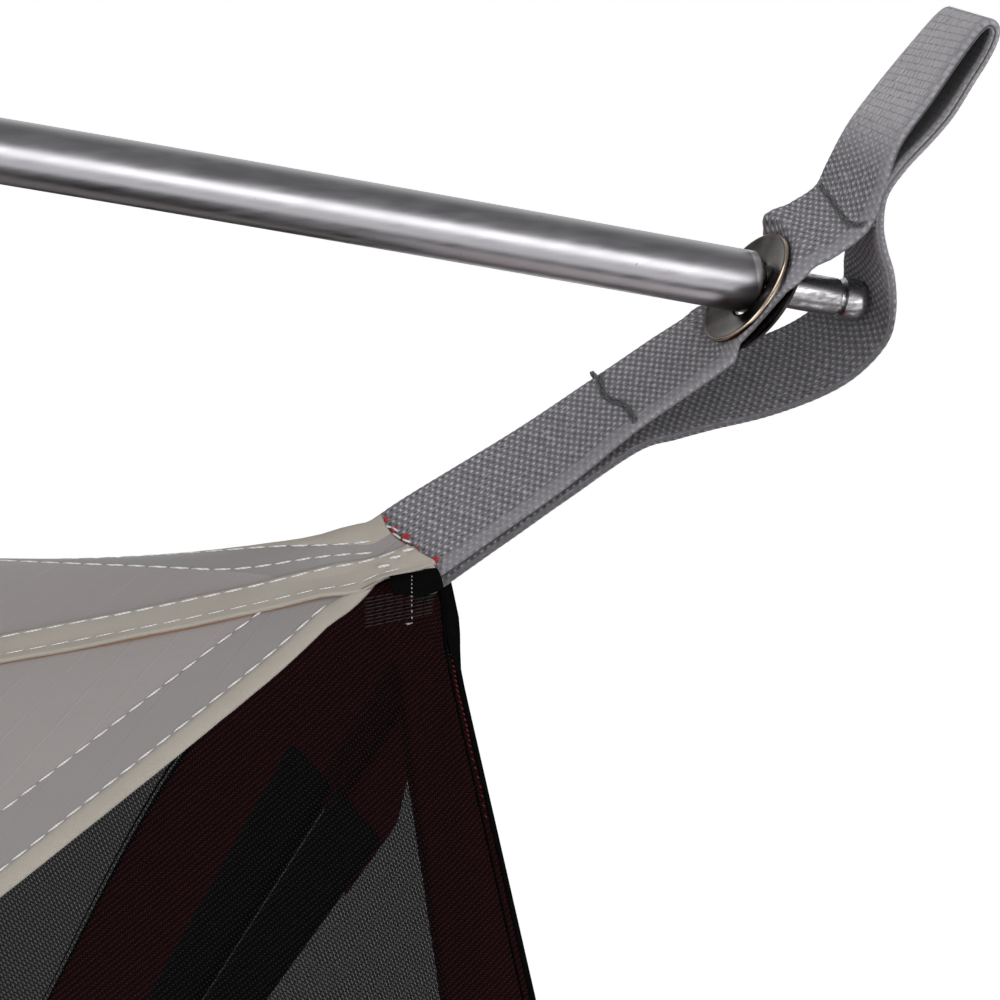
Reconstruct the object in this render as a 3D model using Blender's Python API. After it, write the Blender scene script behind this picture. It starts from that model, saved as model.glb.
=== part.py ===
"""Two-person tent: a mesh and cloth canopy hung from a hubbed pole frame.

X runs across the tent, with a door on each side, Y runs along it and Z is up. The origin
is on the ground under the centre. The left side is the right side turned half round.
"""
import math

import bmesh
import bpy
from mathutils import Matrix, Vector, geometry

GAP = 0.0003                # clearance between pieces that touch
SHEET = 0.002               # thickness of a cloth or mesh panel
SEAM_INSET = 0.003          # distance of a panel's edge from the seam line it is sewn to

# Floor tub
FLOOR_HALF = (0.612, 1.078)
RIM_HALF = (0.5986, 1.062)
RIM_Z = 0.098
TUB_CORNER_R = 0.012

# Side wall: a plane that leans out by LEAN per metre below LEAN_Z
WALL_X = 0.556
WALL_LEAN = 0.05
LEAN_Z = 0.95
APEX_Z = 0.9476
SEAM_SLOPE = 0.72
SEAM_CURVE = 0.075
WALL_TOP_Z = 0.9345          # low enough for the webbing tab to slide off the pole over it
WALL_STEPS = 12             # steps of its curved top edge, each side of the middle
WALL_END_INSET = 0.006
WALL_END_HEIGHT = 0.001

# Roof: widths and heights as polynomials of t, 0 at the apex and 1 at the ridge
APEX_X = 0.5555
ROOF_HALF_WIDTH = (0.2944, 0.2906)
EDGE_HEIGHT = (0.9455, -0.179, 0.1635)
CENTRE_HEIGHT = (0.9486, -0.060, 0.1464)
# The twist of the webbing tab lifts the edges near it, less on the side of the door's hinge:
# (lasting lift, further lift at the tab, crown as a share of the half width)
EDGE_LIFT = {1: (0.0022, 0.0033, 0.16), -1: (0.0085, 0.0011, 0.55)}
LIFT_REACH = 0.035          # t over which the further lift dies away
LIFT_FADE = (0.12, 0.60)    # t over which the lasting lift dies away
CROWN_FADE = (0.10, 0.35)
ROOF_START = 0.022          # t where the cloth ends and the sewn webbing takes over
ROOF_STEPS = 10             # rows from the apex to the ridge
ROOF_STRIPS = 5             # strips from the centre seam to the edge
ROOF_CENTRE_INSET = 0.0009
ROOF_EDGE_INSET = 0.0019
TAPE_WIDTH = 0.006
TAPE_RISE = 0.0008
LEG_SEAM_BULGE = 0.030      # the leg seam bows out to follow the pole
LEG_SEAM_WAY = (0.55, -0.83, 0.0)
MESH_ROWS = (0.035, 0.09, 0.18, 0.28, 0.38, 0.48, 0.58, 0.68, 0.78, 0.88, 0.9965)
MESH_STRIPS = 6
END_ROWS = 9
END_STRIPS = 6
END_TOP = 0.02              # share of the leg seam where the end wall starts
SEAM_GAP = 0.0025           # from the wall's seam line to its cut edge
TUB_SEAM_GAP = 0.0015

# Door: zip and hinge lines in the wall's own y and z
DOOR_TOP = (0.035, 0.905)
DOOR_FAR = (0.8858, 0.135)
DOOR_NEAR = (-0.35, 0.135)
HINGE_GAP = 0.0020          # lets the hemmed edge turn past the wall's
COIL_GAP = 0.0006           # half of the parting gap
COIL_WIDTH = 0.003
COIL_THICK = 0.0024
TAPE_THICK = 0.0012
ZIP_TAPE = 0.015
FAR_CUT = 0.055             # the door's coils end this far from the far corner
TOP_CUT = 0.052
TOP_CUT_SKEW = 0.6          # the cut across the door's top reaches less far down the hinge
ZIP_START = 0.088           # the slanting zip starts this far below the door's top
SLIDER_PARK = 0.040
SLIDER_PLATE = (0.013, 0.009, 0.0014)
SLIDER_POST = (0.004, 0.0008)
BRIDGE_HALF_LENGTH = 0.0036
BRIDGE_THICK = 0.0012
BRIDGE_CLEAR = 0.0018
BRIDGE_HALF_WIDTH = 0.0010
PULL_THICK = 0.0010
PULL_HALF_WIDTH = 0.0026
PULL_END_HALF_WIDTH = 0.0021
PULL_EYE = (0.0005, 0.006)
PULL_LENGTH = 0.024

# Poles
POLE_R = 0.00425
POLE_SIDES = 12
BORE_R = 0.00365
FERRULE_R = 0.00335
FERRULE = 0.050
SPREADER_END = 0.601
SPREADER_END_Z = 0.9857
SPREADER_RISE = 0.1191
SPREADER_JOINT = 0.215
TIP_BORE = 0.016
TIP_R = 0.0025
TIP_CAP_R = 0.0029
TIP_END = 0.6160
TIP_CAP = 0.0030
RIDGE_HALF = 0.60
HUB_Z = 1.0
RIDGE_RISE = 0.093
RIDGE_JOINT = 0.15
LEG_POINTS = ((0.0, -0.60, 1.0), (0.248, -0.796, 0.704), (0.546, -1.0335, 0.348), (0.652, -1.117, 0.0145))
LEG_JOINT = 0.5
LEG_FERRULE = 0.038         # the ferrule's length as a share of the leg curve
FOOT_TIP_END = 1.0115

# Hubs, crossing clamp and canopy clips
HUB_R = 0.010
HUB_ARM_R = 0.0068
HUB_ARM = 0.030
HUB_POLE_START = 0.010
SOCKET_R = 0.00455
CLAMP_HALF = 0.009
CLAMP_COVER = 0.0075        # plastic above and below the two poles' middles
CLAMP_CHAMFER = 0.0015
ROUND_SIDES = 16
CLIP_OUTER_R = 0.0070
CLIP_LENGTH = 0.009
CLIP_STEM = 0.003
LEG_CLIP_END_GAP = 0.0016
LEG_CLIP_SHARE = 0.42       # place of the leg's clip along the leg
RIDGE_CLIP_Y = 0.28
HUB_CLIP_Y = 0.553
CLIP_MOUTH = (28, 85)       # the hook's opening, in degrees round the pole

# Apex tab: (x, z) from the grommet in millimetres and the width's tilt in degrees
TAB_ORIGIN = (0.600, 0.985)
TAB_WIDTH = 0.012
TAB_THICK = 0.0013
TAB_SPREAD = 0.0016         # the webbing spreads round the eyelet
TAB_SPREAD_REACH = 0.009
TAB_EYELET = 7              # station of the eyelet
TAB_FRONT = ((-56.2, -39.5, -30), (-46.8, -33.7, -30), (-37.8, -28.2, -22), (-28.5, -22.5, -15),
             (-18.8, -15.9, -6), (-11.2, -11.0, 0), (-3.9, -6.0, 0), (1.57, 0.52, 0), (6.9, 6.9, 0),
             (9.6, 8.8, -5), (12.4, 10.6, -9))
TAB_REAR = ((-54.9, -41.5, -30), (-45.5, -36.0, -30), (-36.6, -30.6, -24), (-27.6, -25.0, -18),
            (-18.6, -19.4, -12), (-12.4, -17.0, -13), (-6.0, -15.7, -14), (0.5, -14.6, -21),
            (6.7, -12.7, -21), (12.0, -10.1, -17), (16.0, -6.9, -7), (17.9, -3.3, 4), (18.2, 1.2, 12),
            (17.2, 5.2, 12), (15.4, 8.8, 6))
TAB_LOOP = ((15.6, 13.6, 9), (18.2, 18.1, 10), (21.9, 22.3, 10), (25.8, 26.8, 10), (29.2, 32.4, 12),
            (30.2, 35.8, 13), (29.0, 37.9, 14), (26.9, 36.4, 15), (24.6, 32.8, 14), (21.2, 27.4, 12),
            (17.0, 21.2, 7), (14.0, 15.6, 2))
TAB_FUSED = 4               # stations from the sewn end over which the two plies are one
GROMMET_TILT = (-0.767, 0.0, 0.642)
GROMMET_R = 0.00815
BARREL_R = 0.00535
MOUTH_R = 0.0050
FLARE_R = 0.0059            # the mouth flares towards the pole
LIP_R = 0.0044
GROMMET_HALF = 0.00195
GROMMET_ROUND = 0.0004
GROMMET_LIP = 0.0005
FLANGE_IN = 0.00095
GROMMET_SIDES = 24

# Corner tabs: distance from the tub corner and height of the strap's middle
CORNER_TAB = ((0.0005, 0.0032), (0.020, 0.0036), (0.044, 0.0066), (0.0535, 0.0078), (0.0715, 0.0078),
              (0.084, 0.0040), (0.093, 0.0016), (0.115, 0.0016))
CORNER_TAB_HALF = 0.010
CORNER_TAB_THICK = 0.002
CORNER_TAB_INSET = 0.0035   # from the tub's square corner to the tab's start
FOOT_SHARE = 1.0067         # where the leg's curve passes through the tab
FOOT_HOLE_R = 0.0037
STAKE_HOLE = (0.104, 0.0048)


def clear_scene():
    for item in list(bpy.data.objects):
        bpy.data.objects.remove(item, do_unlink=True)


def material(name, colour, roughness, metallic=0.0):
    """A Principled material of one colour."""
    made = bpy.data.materials.new(name)
    made.use_nodes = True
    shader = made.node_tree.nodes["Principled BSDF"]
    shader.inputs["Base Color"].default_value = (*colour, 1.0)
    shader.inputs["Roughness"].default_value = roughness
    shader.inputs["Metallic"].default_value = metallic
    return made


def add_object(name, points, faces, look, origin=(0.0, 0.0, 0.0)):
    """A mesh object from world points, with its faces turned outwards and its origin placed."""
    start = Vector(origin)
    mesh = bpy.data.meshes.new(name)
    mesh.from_pydata([Vector(point) - start for point in points], [], faces)
    edit = bmesh.new()
    edit.from_mesh(mesh)
    bmesh.ops.recalc_face_normals(edit, faces=edit.faces)
    edit.to_mesh(mesh)
    edit.free()
    made = bpy.data.objects.new(name, mesh)
    made.location = start
    bpy.context.scene.collection.objects.link(made)
    if look:
        mesh.materials.append(look)
    return made


def smooth(item, angle=35.0):
    item.data.shade_smooth()
    item.data.set_sharp_from_angle(angle=math.radians(angle))


def ring_body(name, rings, look, origin=(0.0, 0.0, 0.0)):
    """A closed body through rings of points with a flat cap at each end."""
    count = len(rings[0])
    points = [point for ring in rings for point in ring]
    faces = [tuple(reversed(range(count)))]
    for level in range(len(rings) - 1):
        for side in range(count):
            after = (side + 1) % count
            low = level * count
            faces.append((low + side, low + after, low + count + after, low + count + side))
    last = (len(rings) - 1) * count
    faces.append(tuple(range(last, last + count)))
    return add_object(name, points, faces, look, origin)


def cloth(name, rows, look):
    """A panel of even thickness over a grid of points."""
    across = len(rows[0])
    points = [point for row in rows for point in row]
    faces = []
    for row in range(len(rows) - 1):
        for column in range(across - 1):
            corner = row * across + column
            faces.append((corner, corner + 1, corner + across + 1, corner + across))
    panel = add_object(name, points, faces, look)
    thicken = panel.modifiers.new("thickness", "SOLIDIFY")
    thicken.thickness = SHEET
    thicken.offset = 0.0
    panel.data.shade_smooth()
    return panel


def plate(name, loops, place, look, origin=(0.0, 0.0, 0.0)):
    """A plate between two faces; place(point, face) gives the world point, face being -1 or 1."""
    triangles = geometry.tessellate_polygon([[Vector((point[0], point[1], 0.0)) for point in loop] for loop in loops])
    source = [point for loop in loops for point in loop]
    count = len(source)
    points = [place(point, -1) for point in source] + [place(point, 1) for point in source]
    faces = [tuple(corner) for corner in triangles]
    faces += [tuple(corner + count for corner in reversed(triangle)) for triangle in triangles]
    start = 0
    for loop in loops:
        for step in range(len(loop)):
            after = start + (step + 1) % len(loop)
            faces.append((start + step, after, after + count, start + step + count))
        start += len(loop)
    return add_object(name, points, faces, look, origin)


def circle(centre, across, up, radius, sides):
    turns = [2 * math.pi * step / sides for step in range(sides)]
    return [centre + across * (radius * math.cos(turn)) + up * (radius * math.sin(turn)) for turn in turns]


def turned(curve, profile, guide, sides=POLE_SIDES):
    """Rings of a turned piece whose axis follows a curve; profile lists (place on curve, radius)."""
    rings = []
    for place, radius in profile:
        tangent = (curve(place + 0.001) - curve(place - 0.001)).normalized()
        across = tangent.cross(Vector(guide)).normalized()
        rings.append(circle(curve(place), across, tangent.cross(across), radius, sides))
    return rings


def spread_between(first, last, steps, radius):
    return [(first + (last - first) * step / steps, radius) for step in range(steps + 1)]


def boolean(item, operation, tool):
    """Cut or join with a helper body that isn't shown."""
    tool.hide_render = True
    tool.display_type = "WIRE"
    step = item.modifiers.new(tool.name, "BOOLEAN")
    step.operation = operation
    step.object = tool


def cylinder(name, start, direction, length, radius, sides, look=None):
    """A straight round bar."""
    along = Vector(direction).normalized()
    across = along.orthogonal().normalized()
    ends = [Vector(start), Vector(start) + along * length]
    rings = [circle(end, across, along.cross(across), radius, sides) for end in ends]
    return ring_body(name, rings, look)


def polynomial(terms, value):
    return sum(term * value ** power for power, term in enumerate(terms))


# The frame's curves

def spreader_curve(x):
    return Vector((x, 0.0, SPREADER_END_Z + SPREADER_RISE * math.cos(math.pi * x / (2 * SPREADER_END))))


def ridge_curve(y):
    return Vector((0.0, y, HUB_Z + RIDGE_RISE * math.cos(math.pi * y / (2 * RIDGE_HALF))))


def leg_curve(share):
    """The front right leg, from the hub at 0 to the foot at 1."""
    points = [Vector(point) for point in LEG_POINTS]
    rest = 1 - share
    return (points[0] * rest ** 3 + points[1] * 3 * rest * rest * share
            + points[2] * 3 * rest * share * share + points[3] * share ** 3)


def mirrored(curve, side_x, side_y):
    return lambda value: Vector((curve(value).x * side_x, curve(value).y * side_y, curve(value).z))


# The canopy's seams, front right

def fading(t, first, last):
    """1 up to first, 0 from last on, smooth between."""
    share = min(max((t - first) / (last - first), 0.0), 1.0)
    return 1 - share * share * (3 - 2 * share)


def roof_point(t, across, way=1):
    """The roof from its centre seam (0) to its edge (1), in the front right; way -1 is the other quarter."""
    half = ROOF_HALF_WIDTH[0] * t + ROOF_HALF_WIDTH[1] * t * t
    centre = polynomial(CENTRE_HEIGHT, t)
    lasting, further, crown = EDGE_LIFT[way]
    edge = polynomial(EDGE_HEIGHT, t) + (lasting + further * math.exp(-t / LIFT_REACH)) * fading(t, *LIFT_FADE)
    height = centre + (edge - centre) * across ** (1 + t)
    height += crown * half * fading(t, *CROWN_FADE) * across * (1 - across)
    return Vector((APEX_X * (1 - t), -half * across, height))


def seam_height(y):
    return APEX_Z - SEAM_SLOPE * abs(y) - SEAM_CURVE * y * y


def wall_x(z):
    return WALL_X + WALL_LEAN * (LEAN_Z - z)


def wall_point(y, z, out=0.0):
    """A point of the right side wall, moved out along the wall's normal."""
    return Vector((wall_x(z), y, z)) + Vector((1.0, 0.0, WALL_LEAN)).normalized() * out


def leg_seam(share):
    """The seam from the roof corner (0) down to the tub corner (1), front right."""
    top = roof_point(1.0, 1.0)
    bottom = Vector((RIM_HALF[0], -RIM_HALF[1], seam_height(RIM_HALF[1])))
    bow = LEG_SEAM_BULGE * 4 * share * (1 - share)
    return top.lerp(bottom, share) + Vector(LEG_SEAM_WAY).normalized() * bow


def mesh_point(t, share, way=1):
    """The corner mesh panel between the roof edge (share 0) and the wall seam (share 1)."""
    wall_y = -RIM_HALF[1] * t
    side = Vector((wall_x(seam_height(wall_y)), wall_y, seam_height(wall_y)))
    bow = LEG_SEAM_BULGE * 4 * share * (1 - share) * t * t
    return roof_point(t, 1.0, way).lerp(side, share) + Vector(LEG_SEAM_WAY).normalized() * bow


def flip(point, side_x, side_y):
    return Vector((point.x * side_x, point.y * side_y, point.z))


def rounded_rectangle(half, radius, z, steps=3):
    points = []
    for corner, (side_x, side_y) in enumerate(((1, 1), (-1, 1), (-1, -1), (1, -1))):
        for step in range(steps + 1):
            turn = math.radians(90 * corner + 90 * step / steps)
            points.append(Vector((side_x * (half[0] - radius) + radius * math.cos(turn),
                                  side_y * (half[1] - radius) + radius * math.sin(turn), z)))
    return points


# Sub-parts

def make_floor(look):
    """The bathtub floor: one waterproof sheet with turned-up walls, open above."""
    def ring(half, z, inset):
        return rounded_rectangle((half[0] - inset, half[1] - inset), TUB_CORNER_R - inset, z)
    rings = [ring(FLOOR_HALF, 0.0, 0.0), ring(RIM_HALF, RIM_Z, 0.0), ring(RIM_HALF, RIM_Z, SHEET),
             ring(FLOOR_HALF, SHEET, SHEET)]
    smooth(ring_body("floor_tub", rings, look))


def make_roof(cloth_look, tape_look):
    """The two halves of the roof cloth, and the tape over the seam between them."""
    places = [ROOF_START + (1 - ROOF_START) * step / ROOF_STEPS for step in range(ROOF_STEPS + 1)]
    run = [(place, 1) for place in places] + [(place, -1) for place in reversed(places[:-1])]
    for name, side_y in (("roof_front", 1), ("roof_back", -1)):
        rows = []
        for place, side_x in run:
            width = abs(roof_point(place, 1.0).y)
            inner = ROOF_CENTRE_INSET / width
            outer = 1 - ROOF_EDGE_INSET / width
            shares = [inner + (outer - inner) * column / ROOF_STRIPS for column in range(ROOF_STRIPS + 1)]
            way = side_x * side_y
            rows.append([flip(roof_point(place, share, way), side_x, side_y) for share in shares])
        cloth(name, rows, cloth_look)
    rings = []
    for place, side_x in run:
        middle = roof_point(place, 0.0)
        low = middle + Vector((0.0, 0.0, SHEET / 2 + 2 * GAP))
        width = abs(roof_point(place, 1.0).y)
        half = min(TAPE_WIDTH / 2, width - 0.001)
        tilt = {side: max(roof_point(place, half / width, -side * side_x).z - middle.z, 0.0) for side in (-1, 1)}
        rings.append([flip(low + Vector((0.0, side * half, tilt[side] + rise)), side_x, 1)
                      for side, rise in ((-1, 0.0), (1, 0.0), (1, TAPE_RISE), (-1, TAPE_RISE))])
    ring_body("roof_seam_tape", rings, tape_look)


def make_mesh_panels(look):
    """Four corner panels between the roof and the side walls, and the two end walls."""
    for end, side_y in (("front", 1), ("back", -1)):
        for hand, side_x in (("right", 1), ("left", -1)):
            rows, way = [], side_x * side_y
            for place in MESH_ROWS:
                first, last = mesh_point(place, 0.0, way), mesh_point(place, 1.0, way)
                inset = SEAM_INSET / (last - first).length
                shares = [inset + (1 - 2 * inset) * column / MESH_STRIPS for column in range(MESH_STRIPS + 1)]
                rows.append([flip(mesh_point(place, share, way), side_x, side_y) for share in shares])
            cloth("mesh_%s_%s" % (end, hand), rows, look)
    drop = leg_seam(0.0).z - leg_seam(1.0).z
    last_share = (leg_seam(0.0).z - RIM_Z - TUB_SEAM_GAP) / drop
    for end, side_y in (("front", 1), ("back", -1)):
        rows = []
        for row in range(END_ROWS + 1):
            share = END_TOP + (last_share - END_TOP) * row / END_ROWS
            edge = leg_seam(share)
            half = edge.x - SEAM_INSET
            rows.append([Vector((half * (2 * column / END_STRIPS - 1), edge.y * side_y, edge.z))
                         for column in range(END_STRIPS + 1)])
        cloth("end_mesh_%s" % end, rows, look)


def offset_line(first, last, away):
    """The line through two wall points moved sideways, to the left of its run for a plus value."""
    run = (Vector(last) - Vector(first)).normalized()
    shift = Vector((-run.y, run.x)) * away
    return Vector(first) + shift, Vector(last) + shift


def crossing(first, second):
    """Where two lines, each given by two wall points, cross when drawn on."""
    run, other = first[1] - first[0], second[1] - second[0]
    span = second[0] - first[0]
    share = (span.x * other.y - span.y * other.x) / (run.x * other.y - run.y * other.x)
    return first[0] + run * share


def door_lines(zip_out, hinge_out):
    """The door's slanting zip, bottom zip and hinge lines, moved out of the door."""
    slant = offset_line(DOOR_TOP, DOOR_FAR, zip_out)
    bottom = offset_line(DOOR_FAR, DOOR_NEAR, zip_out)
    hinge = offset_line(DOOR_NEAR, DOOR_TOP, hinge_out)
    return slant, bottom, hinge


def make_side_wall(hand, side, look):
    """The cloth and mesh round the door, with the seam to the roof and corner panels on top."""
    bottom_z = RIM_Z + TUB_SEAM_GAP
    top_y = (seam_height(0.0) - SEAM_GAP - WALL_TOP_Z) / SEAM_SLOPE
    end_y = RIM_HALF[1] - WALL_END_INSET
    ys = [top_y + (end_y - top_y) * step / WALL_STEPS for step in range(WALL_STEPS + 1)]
    outline = [Vector((-y, seam_height(y) - SEAM_GAP)) for y in reversed(ys)]
    outline += [Vector((y, seam_height(y) - SEAM_GAP)) for y in ys]
    outline[0].y = max(outline[0].y, bottom_z + WALL_END_HEIGHT)
    outline[-1].y = max(outline[-1].y, bottom_z + WALL_END_HEIGHT)
    outline += [Vector((end_y, bottom_z)), Vector((-end_y, bottom_z))]
    slant, bottom, hinge = door_lines(ZIP_TAPE + GAP, HINGE_GAP)
    narrow = door_lines(HINGE_GAP, HINGE_GAP)[0]
    start = Vector(DOOR_TOP) + (Vector(DOOR_FAR) - Vector(DOOR_TOP)).normalized() * ZIP_START
    step_line = (start, start + Vector((slant[0] - Vector(DOOR_TOP))))
    opening = [crossing(hinge, narrow), crossing(narrow, step_line), crossing(slant, step_line),
               crossing(slant, bottom), crossing(bottom, hinge)]

    def place(point, face):
        return flip(wall_point(point[0], point[1], face * SHEET / 2), side, side)
    plate("side_wall_" + hand, [outline, opening], place, look)


def zip_strip(name, start, end, start_slope, end_slope, look, side):
    """The fixed half of a zip along a parting line, its tape on the left and its ends cut at a slope."""
    run = (end - start).normalized()
    away = Vector((-run.y, run.x))
    half_coil, half_tape = COIL_THICK / 2, TAPE_THICK / 2
    profile = ((COIL_GAP, -half_coil), (COIL_GAP + COIL_WIDTH, -half_coil), (COIL_GAP + COIL_WIDTH, -half_tape),
               (ZIP_TAPE - GAP, -half_tape), (ZIP_TAPE - GAP, half_tape), (COIL_GAP + COIL_WIDTH, half_tape),
               (COIL_GAP + COIL_WIDTH, half_coil), (COIL_GAP, half_coil))
    rings = []
    for place, slope, pull in ((start, start_slope, GAP), (end, end_slope, -GAP)):
        ring = []
        for away_by, out in profile:
            flat = place + away * away_by + run * (slope * away_by + pull)
            ring.append(flip(wall_point(flat.x, flat.y, out), side, side))
        rings.append(ring)
    ring_body(name, rings, look)


def make_zips(hand, side, look):
    """The fixed halves of the two zips, mitred where they meet."""
    top, far, near = Vector(DOOR_TOP), Vector(DOOR_FAR), Vector(DOOR_NEAR)
    slant_run = (far - top).normalized()
    bottom_run = (near - far).normalized()
    hinge_run = (top - near).normalized()
    far_mitre = 1 / math.tan((math.pi - slant_run.angle(bottom_run)) / 2)
    near_slope = hinge_run.x / hinge_run.y
    zip_strip("slant_zip_" + hand, top + slant_run * ZIP_START, far, 0.0, far_mitre, look, side)
    zip_strip("bottom_zip_" + hand, far, near, -far_mitre, near_slope, look, side)


def door_outline(edge, hem):
    """The door's outline: edge is its distance from the zip lines and hem a further inset."""
    slant, bottom, hinge = door_lines(-edge - hem, -HINGE_GAP - hem)
    slant_run = (slant[1] - slant[0]).normalized()
    bottom_run = (bottom[1] - bottom[0]).normalized()
    hinge_run = (hinge[1] - hinge[0]).normalized()
    far, near, top = Vector(DOOR_FAR), Vector(DOOR_NEAR), Vector(DOOR_TOP)
    cut = FAR_CUT + hem
    far_line = (far - slant_run * cut, far + bottom_run * cut)
    top_line = (top + slant_run * (TOP_CUT + hem), top - hinge_run * (TOP_CUT * TOP_CUT_SKEW + hem))
    return [crossing(slant, top_line), crossing(slant, far_line), crossing(bottom, far_line),
            crossing(bottom, hinge), crossing(hinge, top_line)]


def make_door(hand, side, look):
    """The door panel with a thicker hem and its half of each zip coil, on a slanting hinge seam."""
    outer, inner = door_outline(COIL_GAP, 0.0), door_outline(COIL_GAP, COIL_WIDTH)
    levels = ((inner, -SHEET / 2 + GAP), (inner, -COIL_THICK / 2), (outer, -COIL_THICK / 2),
              (outer, COIL_THICK / 2), (inner, COIL_THICK / 2), (inner, SHEET / 2 - GAP))
    rings = [[flip(wall_point(point.x, point.y, out), side, side) for point in loop] for loop, out in levels]
    middle = (Vector(DOOR_TOP) + Vector(DOOR_NEAR)) / 2
    ring_body("door_" + hand, rings, look, flip(wall_point(middle.x, middle.y), side, side))


def slider_matrix(centre, run, side):
    """Local X along the zip, local Y across it and local Z out of the wall."""
    here = flip(wall_point(centre.x, centre.y), side, side)
    ahead = flip(wall_point(centre.x + run.x, centre.y + run.y), side, side)
    out = flip(wall_point(centre.x, centre.y, 1.0), side, side) - here
    along = (ahead - here).normalized()
    across = out.cross(along).normalized()
    return Matrix((along, across, out)).transposed().to_4x4(), here


def box_ring(half_x, half_y, z):
    return [Vector((-half_x, -half_y, z)), Vector((half_x, -half_y, z)), Vector((half_x, half_y, z)),
            Vector((-half_x, half_y, z))]


def make_slider(name, centre, run, side, metal):
    """A zip slider: two plates joined by a post in the parting gap, a bridge, and a hinged pull."""
    turn, here = slider_matrix(centre, run, side)
    inner = COIL_THICK / 2 + GAP
    outer = inner + SLIDER_PLATE[2]
    half = (SLIDER_PLATE[0] / 2, SLIDER_PLATE[1] / 2)
    post = (SLIDER_POST[0] / 2, SLIDER_POST[1] / 2)
    body = ring_body(name, [box_ring(*half, -outer), box_ring(*half, -inner), box_ring(*post, -inner),
                            box_ring(*post, inner), box_ring(*half, inner), box_ring(*half, outer)], metal)
    body.matrix_world = Matrix.Translation(here) @ turn
    reach, thick, clear = BRIDGE_HALF_LENGTH, BRIDGE_THICK, BRIDGE_CLEAR
    arch = [(-reach, -GAP), (-reach, clear + thick), (reach, clear + thick), (reach, -GAP),
            (reach - thick, -GAP), (reach - thick, clear), (thick - reach, clear), (thick - reach, -GAP)]

    def place(point, face):
        return Vector((point[0], face * BRIDGE_HALF_WIDTH, outer + point[1]))
    bridge = plate(name + "_bridge", [arch], place, None)
    bridge.parent = body
    boolean(body, "UNION", bridge)
    pivot = outer + clear / 2
    eye_near, eye_far = PULL_EYE
    arm = PULL_HALF_WIDTH - thick
    tab = [(-eye_near, -PULL_HALF_WIDTH), (PULL_LENGTH, -PULL_END_HALF_WIDTH),
           (PULL_LENGTH, PULL_END_HALF_WIDTH), (-eye_near, PULL_HALF_WIDTH)]
    eye = [(eye_near, -arm), (eye_far, -arm), (eye_far, arm), (eye_near, arm)]

    def lay(point, face):
        return Vector((point[0], point[1], face * PULL_THICK / 2))
    pull = plate(name.replace("slider", "pull"), [tab, eye], lay, metal)
    pull.matrix_world = Matrix.Translation(here) @ turn @ Matrix.Translation((0.0, 0.0, pivot))


def make_sliders(hand, side, metal):
    """One slider on each zip, parked near the far corner with the pull hanging down or out."""
    top, far, near = Vector(DOOR_TOP), Vector(DOOR_FAR), Vector(DOOR_NEAR)
    slant_run = (far - top).normalized()
    bottom_run = (near - far).normalized()
    make_slider("slant_slider_" + hand, far - slant_run * SLIDER_PARK, slant_run, side, metal)
    make_slider("bottom_slider_" + hand, far + bottom_run * SLIDER_PARK, bottom_run, side, metal)


def make_spreader(metal, tip_metal):
    """The arched pole across the top: three sections with ferrules, and a stepped tip at each end."""
    joint = SPREADER_JOINT
    profile = [(-joint + FERRULE + 0.002, BORE_R), (-joint, BORE_R)]
    profile += spread_between(-joint, joint, 8, POLE_R)
    profile += [(joint, BORE_R), (joint - FERRULE - 0.002, BORE_R)]
    smooth(ring_body("spreader_middle", turned(spreader_curve, profile, (0, 1, 0)), metal))
    start = joint + GAP
    profile = [(start - FERRULE, FERRULE_R), (start, FERRULE_R)]
    profile += spread_between(start, SPREADER_END, 8, POLE_R)
    profile += [(SPREADER_END, BORE_R), (SPREADER_END - TIP_BORE, BORE_R)]
    tip = [(SPREADER_END - TIP_BORE + GAP, FERRULE_R), (SPREADER_END + GAP, FERRULE_R),
           (SPREADER_END + 2 * GAP, TIP_R), (TIP_END - TIP_CAP, TIP_R), (TIP_END - TIP_CAP, TIP_CAP_R),
           (TIP_END - 0.0004, TIP_CAP_R), (TIP_END, TIP_CAP_R - 0.0005)]
    for hand, side in (("right", 1), ("left", -1)):
        curve = mirrored(spreader_curve, side, 1)
        smooth(ring_body("spreader_" + hand, turned(curve, profile, (0, 1, 0)), metal))
        smooth(ring_body("spreader_tip_" + hand, turned(curve, tip, (0, 1, 0)), tip_metal))


def make_ridge(metal):
    """The ridge pole between the hubs, in two sections."""
    end = RIDGE_HALF - HUB_POLE_START * 0.97
    joint = RIDGE_JOINT
    front = spread_between(-end, joint, 10, POLE_R)
    front += [(joint, BORE_R), (joint - FERRULE - 0.002, BORE_R)]
    smooth(ring_body("ridge_pole_front", turned(ridge_curve, front, (1, 0, 0)), metal))
    start = joint + GAP
    back = [(start - FERRULE, FERRULE_R), (start, FERRULE_R)] + spread_between(start, end, 7, POLE_R)
    smooth(ring_body("ridge_pole_back", turned(ridge_curve, back, (1, 0, 0)), metal))


def make_legs(metal):
    """Four legs of two sections; the lower one ends in the foot tip."""
    first = HUB_POLE_START / (3 * (Vector(LEG_POINTS[1]) - Vector(LEG_POINTS[0])).length)
    step = GAP / 1.3
    upper = spread_between(first, LEG_JOINT, 7, POLE_R)
    upper += [(LEG_JOINT, BORE_R), (LEG_JOINT - LEG_FERRULE - 0.002, BORE_R)]
    start = LEG_JOINT + step
    lower = [(start - LEG_FERRULE, FERRULE_R), (start, FERRULE_R)] + spread_between(start, 1.0, 7, POLE_R)
    lower += [(1.0, TIP_R), (FOOT_TIP_END, TIP_R)]
    for end, side_y in (("front", 1), ("back", -1)):
        for hand, side_x in (("right", 1), ("left", -1)):
            curve = mirrored(leg_curve, side_x, side_y)
            guide = (side_y * 1.0, side_x * 1.2, 0.0)
            smooth(ring_body("leg_upper_%s_%s" % (end, hand), turned(curve, upper, guide), metal))
            smooth(ring_body("leg_lower_%s_%s" % (end, hand), turned(curve, lower, guide), metal))


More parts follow.
